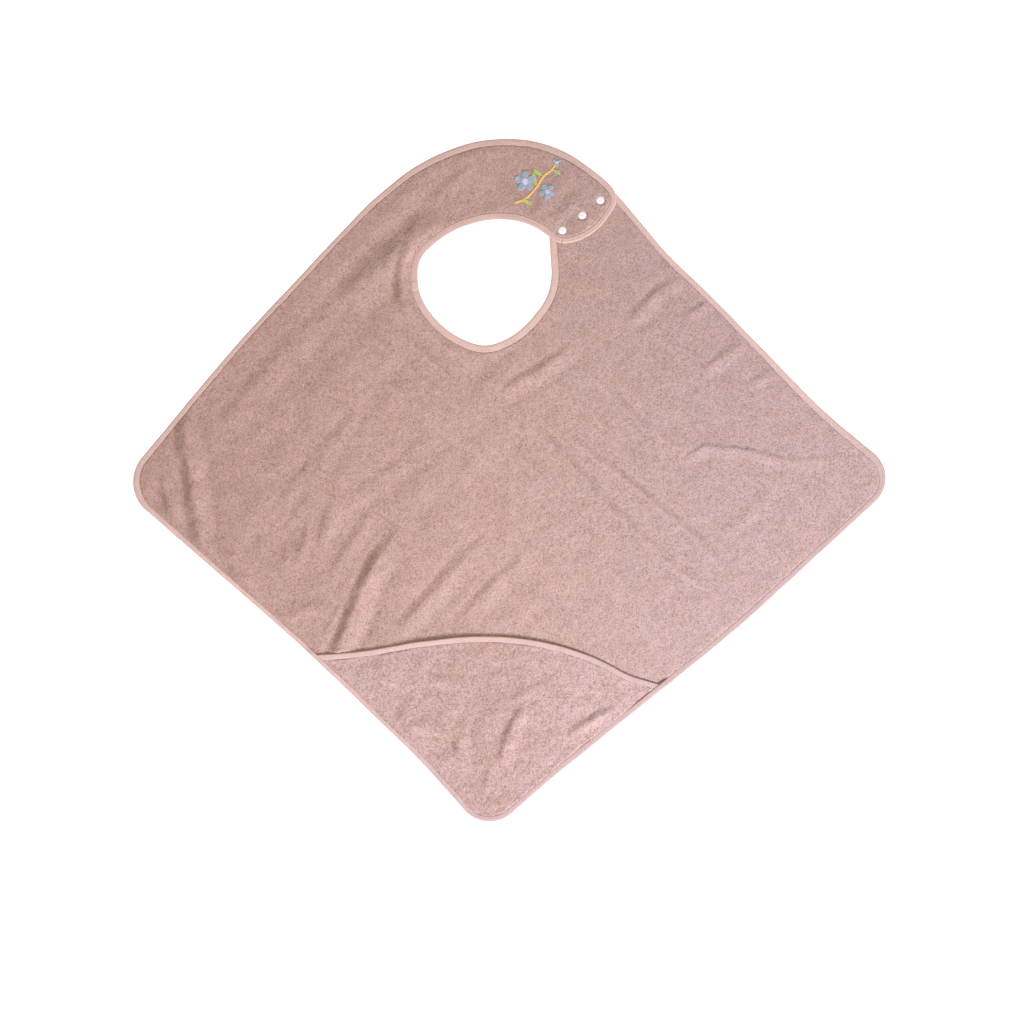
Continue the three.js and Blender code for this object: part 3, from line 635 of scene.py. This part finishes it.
def band(stations, rings):
    """A band swept along stations, from a closed ring of (inset, height) at each."""
    plan = stations.point[:, None, :] + rings[:, :, :1] * stations.normal[:, None, :]
    points = np.concatenate([plan, rings[:, :, 1:]], axis=2).reshape(-1, 3)
    return points, tube_faces(*rings.shape[:2])


# ---- Materials


class Shader:
    def __init__(self, name):
        self.material = bpy.data.materials.new(name)
        self.material.use_nodes = True
        self.tree = self.material.node_tree
        self.surface = self.tree.nodes["Principled BSDF"]

    def add(self, kind, settings=(), **inputs):
        """A node of one kind. Its inputs go by name, or by number as i0, i1 and so on."""
        node = self.tree.nodes.new("ShaderNode" + kind)
        for key, value in dict(settings).items():
            setattr(node, key, value)
        for key, value in inputs.items():
            self.feed(node, key.replace("_", " "), value)
        return node

    def feed(self, node, key, value):
        socket = node.inputs[int(key[1:]) if key[0] == "i" and key[1:].isdigit() else key]
        if isinstance(value, bpy.types.NodeSocket):
            self.tree.links.new(value, socket)
        else:
            socket.default_value = value

    def place(self):
        return self.add("TexCoord").outputs["Object"]

    def math(self, operation, a, b):
        return self.add("Math", {"operation": operation}, i0=a, i1=b).outputs[0]

    def vector(self, operation, a, **others):
        return self.add("VectorMath", {"operation": operation}, i0=a, **others).outputs[0]

    def weighted(self, a, a_share, b, b_share):
        return self.math("ADD", self.math("MULTIPLY", a, a_share), self.math("MULTIPLY", b, b_share))

    def noise(self, where, scale, detail=2.0, roughness=0.5):
        node = self.add("TexNoise", Vector=where, Scale=scale, Detail=detail, Roughness=roughness)
        return node.outputs["Fac"]

    def warped(self, where, scale, amount):
        """A place shifted by noise, for a less regular pattern."""
        lumps = self.add("TexNoise", Vector=where, Scale=scale, Detail=1.0).outputs["Color"]
        centred = self.vector("SUBTRACT", lumps, i1=(0.5, 0.5, 0.5))
        return self.vector("ADD", where, i1=self.vector("SCALE", centred, Scale=amount))

    def ramp(self, factor, stops):
        node = self.add("ValToRGB", Fac=factor)
        elements = node.color_ramp.elements
        while len(elements) < len(stops):
            elements.new(0.5)
        for element, (place, colour) in zip(elements, stops):
            element.position = place
            element.color = (*colour, 1)
        return node.outputs["Color"]

    def blend(self, factor, a, b, kind="MIX"):
        return self.add("Mix", {"data_type": "RGBA", "blend_type": kind}, i0=factor, i6=a, i7=b).outputs[2]

    def tinted(self, colour, tint):
        return self.blend(1.0, colour, tint, "MULTIPLY")

    def bump(self, height, strength, distance):
        return self.add("Bump", Height=height, Strength=strength, Distance=distance).outputs[0]

    def finish(self, **inputs):
        for key, value in inputs.items():
            self.feed(self.surface, key.replace("_", " "), value)
        return self.material


def terry_material(name, loop, shades, patchy, bump, tint):
    """Loops of about that size in metres, with painted shade in the hollows between them and painted light at
    their tips.
    """
    s = Shader(name)
    where = s.warped(s.place(), 0.42 / loop, 1.2 * loop)
    loops = s.add("TexVoronoi", {"feature": "SMOOTH_F1"}, Vector=where, Scale=1 / loop, Smoothness=0.35)
    rise = s.math("SUBTRACT", 1.0, loops.outputs["Distance"])
    curl = s.noise(where, 1.7 / loop, 3.0, 0.65)
    fibres = s.noise(where, 5.0 / loop, 2.0, 0.6)
    height = s.math("ADD", s.weighted(rise, 0.5, curl, 0.4), s.math("MULTIPLY", fibres, 0.1))
    tufts = s.noise(where, 0.42 / loop)
    depth = s.weighted(height, 0.76, tufts, 0.24)
    # The colour runs from painted shade in the hollows between the loops to painted light at their tips.
    colour = s.ramp(depth, list(zip((0.34, 0.5, 0.66), shades)))
    low, high = 1 - patchy, 1 + patchy
    clouds = s.noise(s.place(), 33.0, 3.0, 0.7)
    patches = s.ramp(clouds, [(0.3, (low, low, low)), (0.7, (high, high, 1 + 1.3 * patchy))])
    uneven = s.noise(s.place(), 26.0, 1.2, 0.5)
    dye = s.ramp(uneven, [(0.36, (1.014, 0.997, 0.985)), (0.64, (0.989, 1.001, 1.015))])
    # Painted light and shade along X: the colour grows lighter and darker from side to side, as the light
    # falls.
    rightward = s.add("SeparateXYZ", Vector=s.place()).outputs["X"]
    across = s.ramp(s.math("ADD", rightward, 0.5), tint)
    colour = s.tinted(s.tinted(s.tinted(colour, patches), dye), across)
    # Painted shade along the pressed packing lines darkens the colour.
    pressed = s.add("Attribute", {"attribute_name": PRESSED_LINE_SHADE}).outputs["Fac"]
    colour = s.blend(pressed, colour, s.tinted(colour, (0.80, 0.79, 0.78, 1)))
    return s.finish(
        Base_Color=colour, Roughness=0.95, Specular_IOR_Level=0.15, Normal=s.bump(depth, bump, 0.6 * loop),
        Sheen_Weight=0.25, Sheen_Roughness=0.55, Sheen_Tint=(0.98, 0.88, 0.84, 1),
    )


def tape_material():
    """Plain woven cotton tape, with painted light and shade that run across it towards the key light."""
    s = Shader("tape")
    where = s.place()
    slub = s.noise(where, 260.0, 4.0, 0.6)
    threads = [
        s.add("TexWave", {"bands_direction": way}, Vector=where, Scale=620.0, Distortion=1.5).outputs["Fac"]
        for way in ("DIAGONAL", "X")
    ]
    weave = s.math("MULTIPLY", *threads)
    height = s.weighted(weave, 0.35, slub, 0.65)
    colour = s.ramp(height, [(0.2, (0.555, 0.384, 0.343)), (0.75, (0.67, 0.481, 0.437))])
    # Painted light and shade: lighter away from the key light, darker and bluer towards it.
    towards_key_light = s.add("VectorMath", {"operation": "DOT_PRODUCT"}, i0=where, i1=TAPE_PAINTED_LIGHT_WAY).outputs["Value"]
    painted_light = s.ramp(s.math("ADD", towards_key_light, 0.5), TAPE_PAINTED_LIGHT)
    patches = s.ramp(s.noise(where, 30.0), [(0.3, (0.95, 0.95, 0.955)), (0.7, (1.04, 1.03, 1.03))])
    colour = s.tinted(s.tinted(colour, painted_light), patches)
    return s.finish(
        Base_Color=colour, Roughness=0.82, Specular_IOR_Level=0.25, Normal=s.bump(height, 0.75, 0.0006),
        Sheen_Weight=0.2, Sheen_Roughness=0.4, Sheen_Tint=(1.0, 0.92, 0.9, 1),
    )


def thread_material(name, dark, pale):
    s = Shader(name)
    strands = s.noise(s.place(), 900.0, 2.0, 0.6)
    return s.finish(
        Base_Color=s.ramp(strands, [(0.3, dark), (0.7, pale)]), Normal=s.bump(strands, 0.35, 0.0003),
        Roughness=0.42, Specular_IOR_Level=0.5, Sheen_Weight=0.25,
    )


def snap_material():
    s = Shader("snap")
    haze = s.noise(s.place(), 180.0, 3.0, 0.6)
    colour = s.ramp(haze, [(0.3, (0.70, 0.695, 0.69)), (0.7, (0.78, 0.775, 0.77))])
    rough = s.math("ADD", s.math("MULTIPLY", haze, 0.12), 0.2)
    return s.finish(Base_Color=colour, Roughness=rough, Coat_Weight=0.3, Coat_Roughness=0.12)


# Colours from the painted shade at the bottom of the loops to the painted light at their tips, and painted
# light and shade along X in metres from -0.5.
BODY_SHADES = [(0.30, 0.188, 0.16), (0.408, 0.27, 0.24), (0.515, 0.356, 0.325)]
HOOD_SHADES = [(0.305, 0.193, 0.171), (0.412, 0.275, 0.251), (0.525, 0.368, 0.345)]
BODY_PAINTED_LIGHT = [(0.0, (0.965, 0.935, 0.90)), (0.5, (1.02, 1.012, 0.975)), (0.85, (0.978, 1.01, 1.03))]
HOOD_PAINTED_LIGHT = [(0.27, (1.04, 1.05, 1.03)), (0.46, (0.95, 0.935, 0.89)), (0.65, (1.02, 1.03, 1.01))]
TAPE_PAINTED_LIGHT_WAY = (0.6, -0.8, 0.0)  # the tape's painted light and shade run this way, towards the key light
TAPE_PAINTED_LIGHT = [
    (0.0, (0.99, 0.99, 0.97)), (0.3, (1.06, 1.06, 1.03)), (0.66, (0.99, 0.99, 0.98)),
    (0.94, (0.79, 0.80, 0.825)),
]
TERRY = terry_material("terry", 0.0025, BODY_SHADES, 0.075, 0.65, BODY_PAINTED_LIGHT)
HOOD_TERRY = terry_material("hood_terry", 0.003, HOOD_SHADES, 0.08, 0.65, HOOD_PAINTED_LIGHT)
TAPE = tape_material()
SNAP = snap_material()
THREADS = {
    name: thread_material(name, *shades)
    for name, shades in {
        "petal_thread": [(0.28, 0.345, 0.41), (0.41, 0.475, 0.55)],
        "centre_thread": [(0.55, 0.48, 0.66), (0.72, 0.66, 0.80)],
        "stem_thread": [(0.74, 0.42, 0.08), (0.88, 0.60, 0.22)],
        "leaf_thread": [(0.34, 0.44, 0.08), (0.56, 0.64, 0.20)],
        "seam_thread": [(0.52, 0.36, 0.325), (0.66, 0.49, 0.45)],
    }.items()
}


def dress(obj, material, slot_name, *nodes):
    obj.data.materials.clear()
    obj.data.materials.append(material)
    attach(obj, "root")
    if nodes:
        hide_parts(*nodes)
    return obj


# ---- The apron

APRON_SPACING = 3.5
UNDERSIDE_SPACING = 9.0
UNDERSIDE, TOP = 0, 1  # in the order that levels() returns them


def apron_regions():
    """The two closed lines that the apron is meshed in, with where each meets the other."""
    count = math.ceil(OUTLINE.length[-1] / APRON_SPACING)
    edge = OUTLINE.at(np.linspace(0, OUTLINE.length[-1], count, endpoint=False))
    points = edge.inset(CLOTH_INSET)
    before = np.flatnonzero(edge.angle < SPLIT_ANGLE)
    leap = np.flatnonzero(np.diff(before) > 1)[0]
    first, last = before[leap] + 1, before[leap + 1]
    steps = round(np.linalg.norm(points[last] - points[first]) / APRON_SPACING)
    seam = mix(points[first], points[last], np.arange(1, steps)[:, None] / steps)
    strap = np.concatenate([points[last:], points[: first + 1], seam])
    body = np.concatenate([points[first : last + 1], seam[::-1]])
    return points, first, last, len(seam), strap, body


def apron_side(spacing, level, seed, regions):
    """One face of the apron, and its rim in outline order. Body and strap share their common line."""
    points, first, last, seam, strap, body = regions
    guides = beside_tape(OUTLINE, OUTLINE_WIDTH, spacing) if level == TOP else ()
    strap_points, strap_faces = fill(strap, spacing, seed, guides)
    body_points, body_faces = fill(body, spacing, seed + 1, guides)
    everything = np.concatenate([
        np.column_stack([strap_points, Plan(strap_points, True).levels()[level]]),
        np.column_stack([body_points, Plan(body_points, False).levels()[level]]),
    ])
    count, last_of_body = len(points), last - first
    rim = (np.arange(count) - last) % count
    shared = np.arange(len(body_points)) + len(strap_points)
    rim[first + 1 : last] = shared[1:last_of_body]
    shared[0], shared[last_of_body] = rim[first], rim[last]
    shared[last_of_body + 1 :][:seam] = (count - last_of_body + 1 + np.arange(seam))[::-1]
    faces = np.concatenate([strap_faces, shared[body_faces]])
    used = np.unique(faces)
    index = np.full(len(everything), -1)
    index[used] = np.arange(len(used))
    return everything[used], index[faces], index[rim]


def make_apron():
    regions = apron_regions()
    top = apron_side(APRON_SPACING, TOP, 51, regions)
    under = apron_side(UNDERSIDE_SPACING, UNDERSIDE, 61, regions)
    apron = closed_sheet("apron_terry", top, under)
    paint_pressed_line_shade(apron, top[0])
    return dress(apron, TERRY, "terry", "apron_panel")


# ---- The hood

HOOD_SPACING = 2.9


def hood_corners():
    """Where the mouth meets the outer tape: lengths along the mouth and along the outline."""
    _, deep, k = OUTLINE.beside(MOUTH_RUN.point)
    clear = np.flatnonzero(deep > MOUTH_TUCK)
    crossing = np.flatnonzero(deep > 0)
    return MOUTH_RUN.length[clear[[0, -1]]], OUTLINE.length[k[crossing[[0, -1]]]]


(MOUTH_START, MOUTH_END), (HOOD_LEFT, HOOD_RIGHT) = hood_corners()


def hood_boundary():
    """The closed line of the hood's terry, along the outline and back along its mouth."""
    along = np.arange(0, MOUTH_RUN.length[-1], HOOD_SPACING)
    line = MOUTH_RUN.at(along).inset(CLOTH_INSET)
    line = line[OUTLINE.beside(line)[1] > CLOTH_INSET + HOOD_SPACING / 2]
    ends = OUTLINE.length[nearest(line[[0, -1]], OUTLINE.point)[1]]
    edge = OUTLINE.at(np.linspace(*ends, round(np.ptp(ends) / HOOD_SPACING))).inset(CLOTH_INSET)
    return np.concatenate([edge, line[::-1]])


def hood_levels(points):
    """Underside and top of the hood."""
    from_mouth, k = nearest(points, MOUTH_RUN.point)
    from_edge, j = nearest(points, OUTLINE.point)
    width = OUTLINE_WIDTH[j]
    free = standing_free(from_edge, width) * standing_free(from_mouth, MOUTH_TAPE_WIDTH + 0.4)
    folds = np.maximum(crease_height(HOOD_CREASES, points) + 0.8 * rolling(points), 0)
    folds = folds * ease(14, 32, from_edge) * ease(12, 30, from_mouth)
    lift = RIM_RISE * ease(17, 6, from_mouth) + mouth_rise(MOUTH_RUN.length[k], from_mouth)
    under = HOOD_LEVEL + lift + folds
    puff = 0.15 * ease(width + 30, width + 10, from_edge)
    lumps = 0.75 * noise(*points.T, 13, 75) + 0.9 * noise(*points.T, 27, 76)
    top = under + mix(PRESSED, HOOD_PILE, free) + free * (puff + pile(points, 71, 1.3, 0.34) + lumps)
    return under, np.maximum(top, under + HOOD_LEAST)


def make_hood():
    boundary = hood_boundary()
    guides = np.concatenate([
        beside_tape(OUTLINE, OUTLINE_WIDTH, HOOD_SPACING),
        beside_tape(MOUTH_RUN, np.full(len(MOUTH_RUN.length), MOUTH_TAPE_WIDTH), HOOD_SPACING),
    ])
    sides = []
    for spacing, level, seed in ((HOOD_SPACING, TOP, 81), (UNDERSIDE_SPACING, UNDERSIDE, 82)):
        points, faces = fill(boundary, spacing, seed, guides if level == TOP else ())
        sides.append((np.column_stack([points, hood_levels(points)[level]]), faces, np.arange(len(boundary))))
    return dress(closed_sheet("hood_terry", *sides), HOOD_TERRY, "terry", "hood_panel")


# ---- Bindings and their stitches

STATION_STEP = 3.0
STITCH_STEP = 3.3
STITCH_HALF = 0.42  # half a stitch's length, as a share of the step
STITCH_RADIUS = 0.26
STITCH_ARCH = 0.22
STITCH_FROM_EDGE = 1.9
STITCH_GROOVE = 0.1
TAB_FROM_EDGE = 4.2  # the same two at the tab's end
TAB_GROOVE = 0.5
LAP = 13.0
LAP_EDGE = 0.4
OUTER_LAP = (24, 586)
NECK_LAP = (-160, 330)


def tape_ring(base, stack, width, under, sway, seam, groove, tilt=0.0):
    """The closed cross-section of a folded tape at each station, as (inset, height)."""
    half = stack / 2
    fold = half * 0.92
    turn = np.radians([-90, -60, -30, 0, 30, 60, 90])
    lean = tilt / (width - fold)

    def top(inset, sink):
        return inset, base + stack - sink - lean * (inset - fold)

    rows = [
        (under, base + 0.12),
        (under * 0.6, base),
        *[(fold - fold * math.cos(a), base + half + half * math.sin(a)) for a in turn],
        top(fold + (width - fold) * 0.2, -0.08 - sway),
        top(seam - 1.3, -0.05 - sway),
        top(seam, groove),
        top(seam + 1.2, 0.0),
        top(width, 0.28),
        top(width, TAPE_THICK + 0.1),
        top(width - 2.0, TAPE_THICK + 0.16),
        top(fold + 1.0, TAPE_THICK),
        (TAPE_THICK + 0.1, base + half),
        (fold + 1.0, base + TAPE_THICK),
        (under, base + TAPE_THICK + 0.05),
    ]
    shape = np.broadcast(base, stack, width).shape
    return np.stack([np.stack([np.broadcast_to(v, shape) for v in row], axis=-1) for row in rows], axis=1)


def outer_stack(length):
    """The outer tape's thickness, which steps up where the hood is sewn in."""
    into = np.minimum(length - HOOD_LEFT, HOOD_RIGHT - length)
    return mix(RIM_STACK, HOOD_STACK + RIM_RISE * share(84, 50, into), share(-16, -1, into))


def rim_tape(name, start, end, lap_place):
    """The tape between two lengths of the outline, lapped at one place, and where its stitches lie."""
    lap_start = OUTLINE.length[nearest(np.array([lap_place], float), OUTLINE.point)[1][0]]
    laps = lap_start + np.array([0, LAP_EDGE, LAP, LAP + LAP_EDGE])
    lengths = np.linspace(start + 0.02, end - 0.02, round((end - start) / STATION_STEP))
    lengths = np.sort(np.concatenate([lengths, laps]))
    lap = share(laps[0], laps[1], lengths) * share(laps[3], laps[2], lengths)
    run = OUTLINE.at(lengths)
    base = strap_lift(run.angle)
    width = tape_width(lengths, run.angle) + 0.5 * lap
    settle = ease(0, RUN_SETTLES, np.minimum(lengths - start, end - lengths))
    stack = outer_stack(lengths) + 0.12 * settle * waver(lengths, 9, 91) + 0.22 * lap
    sway = 0.14 * settle * waver(lengths, 7, 92)
    run.point = run.inset(0.35 * settle * waver(lengths, 42, 93))
    tab = ease(*TAB_SEAM, run.angle)
    seam = width - mix(STITCH_FROM_EDGE, TAB_FROM_EDGE, tab)
    groove = mix(STITCH_GROOVE, TAB_GROOVE, tab)
    rings = tape_ring(base, stack, width, TAPE_UNDER, sway, seam, groove)
    return mesh_object(name, *band(run, rings)), (run, base + stack - groove, seam)


def mouth_tape():
    """The tape on the hood's mouth, its ends tucked into the outer tape, and where its stitches lie."""
    lengths = np.linspace(MOUTH_START, MOUTH_END, 230)
    run = MOUTH_RUN.at(lengths)
    run.point = run.inset(-0.4 + 0.4 * waver(lengths, 38, 94))
    from_end = np.minimum(lengths - lengths[0], lengths[-1] - lengths)
    stack = mix(3.1, 3.9, ease(0, 30, from_end)) + 0.12 * waver(lengths, 10, 95)
    base = HOOD_LEVEL + mouth_rise(lengths, 0.0)
    sway = 0.12 * waver(lengths, 8, 96)
    width = MOUTH_TAPE_WIDTH + 0.5 * waver(lengths, 30, 97)
    tilt = 0.35 * ease(0, 40, from_end)
    seam = width - STITCH_FROM_EDGE
    rings = tape_ring(base, stack, width, MOUTH_TAPE_UNDER, sway, seam, STITCH_GROOVE, tilt)
    return mesh_object("hood_tape", *band(run, rings)), (run, base + stack - tilt - STITCH_GROOVE, seam)


def stitch_row(run, groove, seam):
    """Stitches along a run, in a groove of that height and inset."""
    count = int(run.length[-1] / STITCH_STEP)
    along = np.linspace(-STITCH_HALF, STITCH_HALF, 4)
    radius = STITCH_RADIUS * np.array([0.55, 1.0, 1.0, 0.55])
    arch = STITCH_ARCH * np.array([-0.9, 0.35, 0.35, -0.9])
    lengths = (((np.arange(count) + 0.5)[:, None] + along) * STITCH_STEP).ravel()
    at = run.at(np.clip(lengths, 0, run.length[-1]))
    inset = np.interp(lengths, run.length, seam) + np.tile(along * 0.25, count)
    height = np.interp(lengths, run.length, groove) + 0.06 + np.tile(arch, count)
    points = tube_points(at.inset(inset), height, np.tile(radius, count), at.normal)
    stitch = tube_faces(len(along), THREAD_SIDES)
    return joined([(part, stitch) for part in points.reshape(count, -1, 3)])


def make_bindings():
    """The three tapes, and all their stitches as one piece."""
    made = [
        rim_tape("outer_tape", 0.0, OUTER_LENGTH, OUTER_LAP),
        rim_tape("neck_tape", OUTER_LENGTH, OUTLINE.length[-1], NECK_LAP),
        mouth_tape(),
    ]
    for (tape, _), node in zip(made, ("outer_binding", "neck_binding", "hood_binding")):
        dress(tape, TAPE, "tape", node)
    stitches = mesh_object("seam_stitches", *joined([stitch_row(*where) for _, where in made]))
    dress(stitches, THREADS["seam_thread"], "seam_thread")
    return *(tape for tape, _ in made), stitches


# ---- Snaps

SNAP_SIDES = 64
CAP_PROFILE = [
    (0, 1.55), (0.5, 1.57), (0.95, 1.65), (1.35, 1.85), (1.8, 1.97), (2.6, 2), (3.6, 1.95), (4.6, 1.8),
    (5.5, 1.55), (6.3, 1.22), (6.9, 0.88), (7.2, 0.55), (7.3, 0.28), (7.2, 0.06), (6.9, 0), (0, 0),
]
BACK_PROFILE = [
    (0, 1), (6, 1), (6.4, 0.75), (6.5, 0.4), (6.2, 0.12), (5.6, 0), (2.4, 0), (1.7, 0.08), (1.3, 0.35),
    (0, 0.35),
]


def turned(name, profile, place, base):
    """A profile of (radius, height), from its axis's top to its bottom, turned round it."""
    angle = full_turn(SNAP_SIDES)
    circle = np.column_stack([np.cos(angle), np.sin(angle)])
    rings = [np.column_stack([place + r * circle, np.full(SNAP_SIDES, base + z)]) for r, z in profile]
    points = np.concatenate([rings[0][:1], *rings[1:-1], rings[-1][:1]])
    faces = []
    for k in range(SNAP_SIDES):
        n = (k + 1) % SNAP_SIDES
        for a in range(1, len(points) - 1 - SNAP_SIDES, SNAP_SIDES):
            b = a + SNAP_SIDES
            faces.append([a + k, b + k, b + n, a + n])
        faces += [[0, 1 + k, 1 + n], [b + n, b + k, len(points) - 1]]
    return mesh_object(name, points, faces)


def make_snaps():
    made = []
    for k, place in enumerate(SNAPS, 1):
        for piece, profile, base in (("cap", CAP_PROFILE, CAP_BASE), ("back", BACK_PROFILE, 0.0)):
            snap = turned(f"{piece}_{k}", profile, place, base)
            made.append(dress(snap, SNAP, "snap", f"snap_{piece}_{k}"))
    for name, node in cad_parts.items():
        if name.startswith(("snap_stud", "snap_socket")):
            node.data.materials.clear()
            node.data.materials.append(SNAP)
    return made


# ---- The embroidered sprig, in satin stitch

THREAD_STEP = 0.42
THREAD_LEAST = 0.8  # no thread is shorter
THREAD_RADIUS = 0.26
PADDING = 0.55  # how far the middle of a satin patch stands above its edge

Flower = namedtuple("Flower", "x y long wide petals turn")
Leaf = namedtuple("Leaf", "x y long wide turn")
STEM = [(8, 480), (26, 487), (44, 505), (58, 526), (72, 537), (80, 550)]
STEM_WIDTH = 5.4
FLOWERS = table(Flower, [(26, 517, 19, 16.5, 5, 20), (64, 499, 14.5, 12.5, 5, 50), (81, 550, 8.5, 8, 3, 28)])
LEAVES = table(Leaf, [
    (46, 509, 26, 9, 106), (57, 527, 22, 8.5, 146), (20, 484, 20, 8, -22), (73, 537, 18, 7.5, -34),
])


def placed(part, axis, along, across):
    """Points along and across an axis from a part's own place."""
    c, s = math.cos(axis), math.sin(axis)
    return np.stack([part.x + along * c - across * s, part.y + along * s + across * c], axis=1)


def petal_outline(flower, k):
    """A petal, wider towards its outer end, and its axis."""
    axis = math.radians(flower.turn + 360 * k / flower.petals)
    t = full_turn(40)
    along = flower.long * (0.56 - 0.44 * np.cos(t))
    across = flower.wide / 2 * np.sin(t) * (0.82 + 0.3 * (along / flower.long - 0.5))
    return placed(flower, axis, along, across), axis


def leaf_outline(leaf):
    """A pointed leaf that bends to one side, and its axis."""
    axis = math.radians(leaf.turn)
    t = np.concatenate([np.linspace(0, 1, 16), np.linspace(1, 0, 16)[1:-1]])
    side = np.repeat([1, -1], [16, 14])
    bulge = np.sin(math.pi * t)
    return placed(leaf, axis, leaf.long * t, side * leaf.wide / 2 * bulge**0.8 + 1.2 * bulge), axis


def disc_outline(flower, radius):
    t = full_turn(28)
    return placed(flower, 0.0, radius * np.cos(t), radius * np.sin(t))


def stem_outline():
    line = smooth_line(STEM, 1.5)
    side = left_of(unit(np.gradient(line, axis=0))) * STEM_WIDTH / 2
    return np.concatenate([line - side, (line + side)[::-1]])


def satin(outline, angle, raised, seed):
    """Parallel threads across a closed outline, each as its two ends and its height."""
    c, s = math.cos(angle), math.sin(angle)
    turn = np.array([[c, s], [-s, c]])
    local = outline @ turn.T
    rng = np.random.default_rng(seed)
    threads = []
    for row in np.arange(local[:, 1].min() + 0.2, local[:, 1].max() - 0.1, THREAD_STEP):
        at = crossings(local, row)
        for start, end in zip(at[::2], at[1::2]):
            if end - start > THREAD_LEAST:
                ends = np.column_stack([[start, end] + rng.uniform(-0.25, 0.25, 2), [row, row]])
                threads.append((ends @ turn, raised))
    return threads


def thread_tube(start, end, raised):
    """A thread as a closed tube that arches over its patch."""
    length = np.linalg.norm(end - start)
    count = max(5, math.ceil(length / 1.3) + 1)
    t = np.linspace(0, 1, count)
    reach = np.minimum(t, 1 - t) * length
    height = raised + PADDING * ease(0, 1.6, reach) * min(1, length / 6) - 0.75 * ease(0.7, 0, reach)
    radius = THREAD_RADIUS * mix(0.55, 1.0, ease(0, 0.6, reach))
    across = left_of((end - start) / length)[None, :]
    points = tube_points(mix(start, end, t[:, None]), height, radius, across)
    return points, tube_faces(count, THREAD_SIDES)


def embroidered(name, threads, kind):
    points, faces = joined([thread_tube(start, end, raised) for (start, end), raised in threads])
    points[:, 2] += Plan(points[:, :2], True).levels(standing=0.0)[TOP] - 0.1
    return dress(mesh_object(name, points, faces), THREADS[kind], kind)


def make_sprig():
    petals, centres, leaves = [], [], []
    for n, flower in enumerate(FLOWERS):
        for k in range(flower.petals):
            outline, axis = petal_outline(flower, k)
            petals += satin(outline, axis + math.radians(62), 0.12 + 0.1 * (k % 2), 101 + 10 * n + k)
        disc = disc_outline(flower, 0.37 * flower.wide)
        centres += satin(disc, math.radians(20 + 40 * n), 0.75, 141 + n)
    for n, leaf in enumerate(LEAVES):
        outline, axis = leaf_outline(leaf)
        leaves += satin(outline, axis + math.radians(48), 0.05, 151 + n)
    stem = satin(stem_outline(), math.radians(135), 0.0, 161)
    return [
        embroidered("sprig_stem", stem, "stem_thread"),
        embroidered("sprig_leaves", leaves, "leaf_thread"),
        embroidered("sprig_petals", petals, "petal_thread"),
        embroidered("sprig_centres", centres, "centre_thread"),
    ]


# ---- Putting it together

make_camera()
make_lights()
make_floor()
bpy.context.scene.view_settings.view_transform = "Standard"

apron = make_apron()
hood = make_hood()
outer_tape, neck_tape, hood_tape, stitches = make_bindings()
snaps = make_snaps()
sprig = make_sprig()
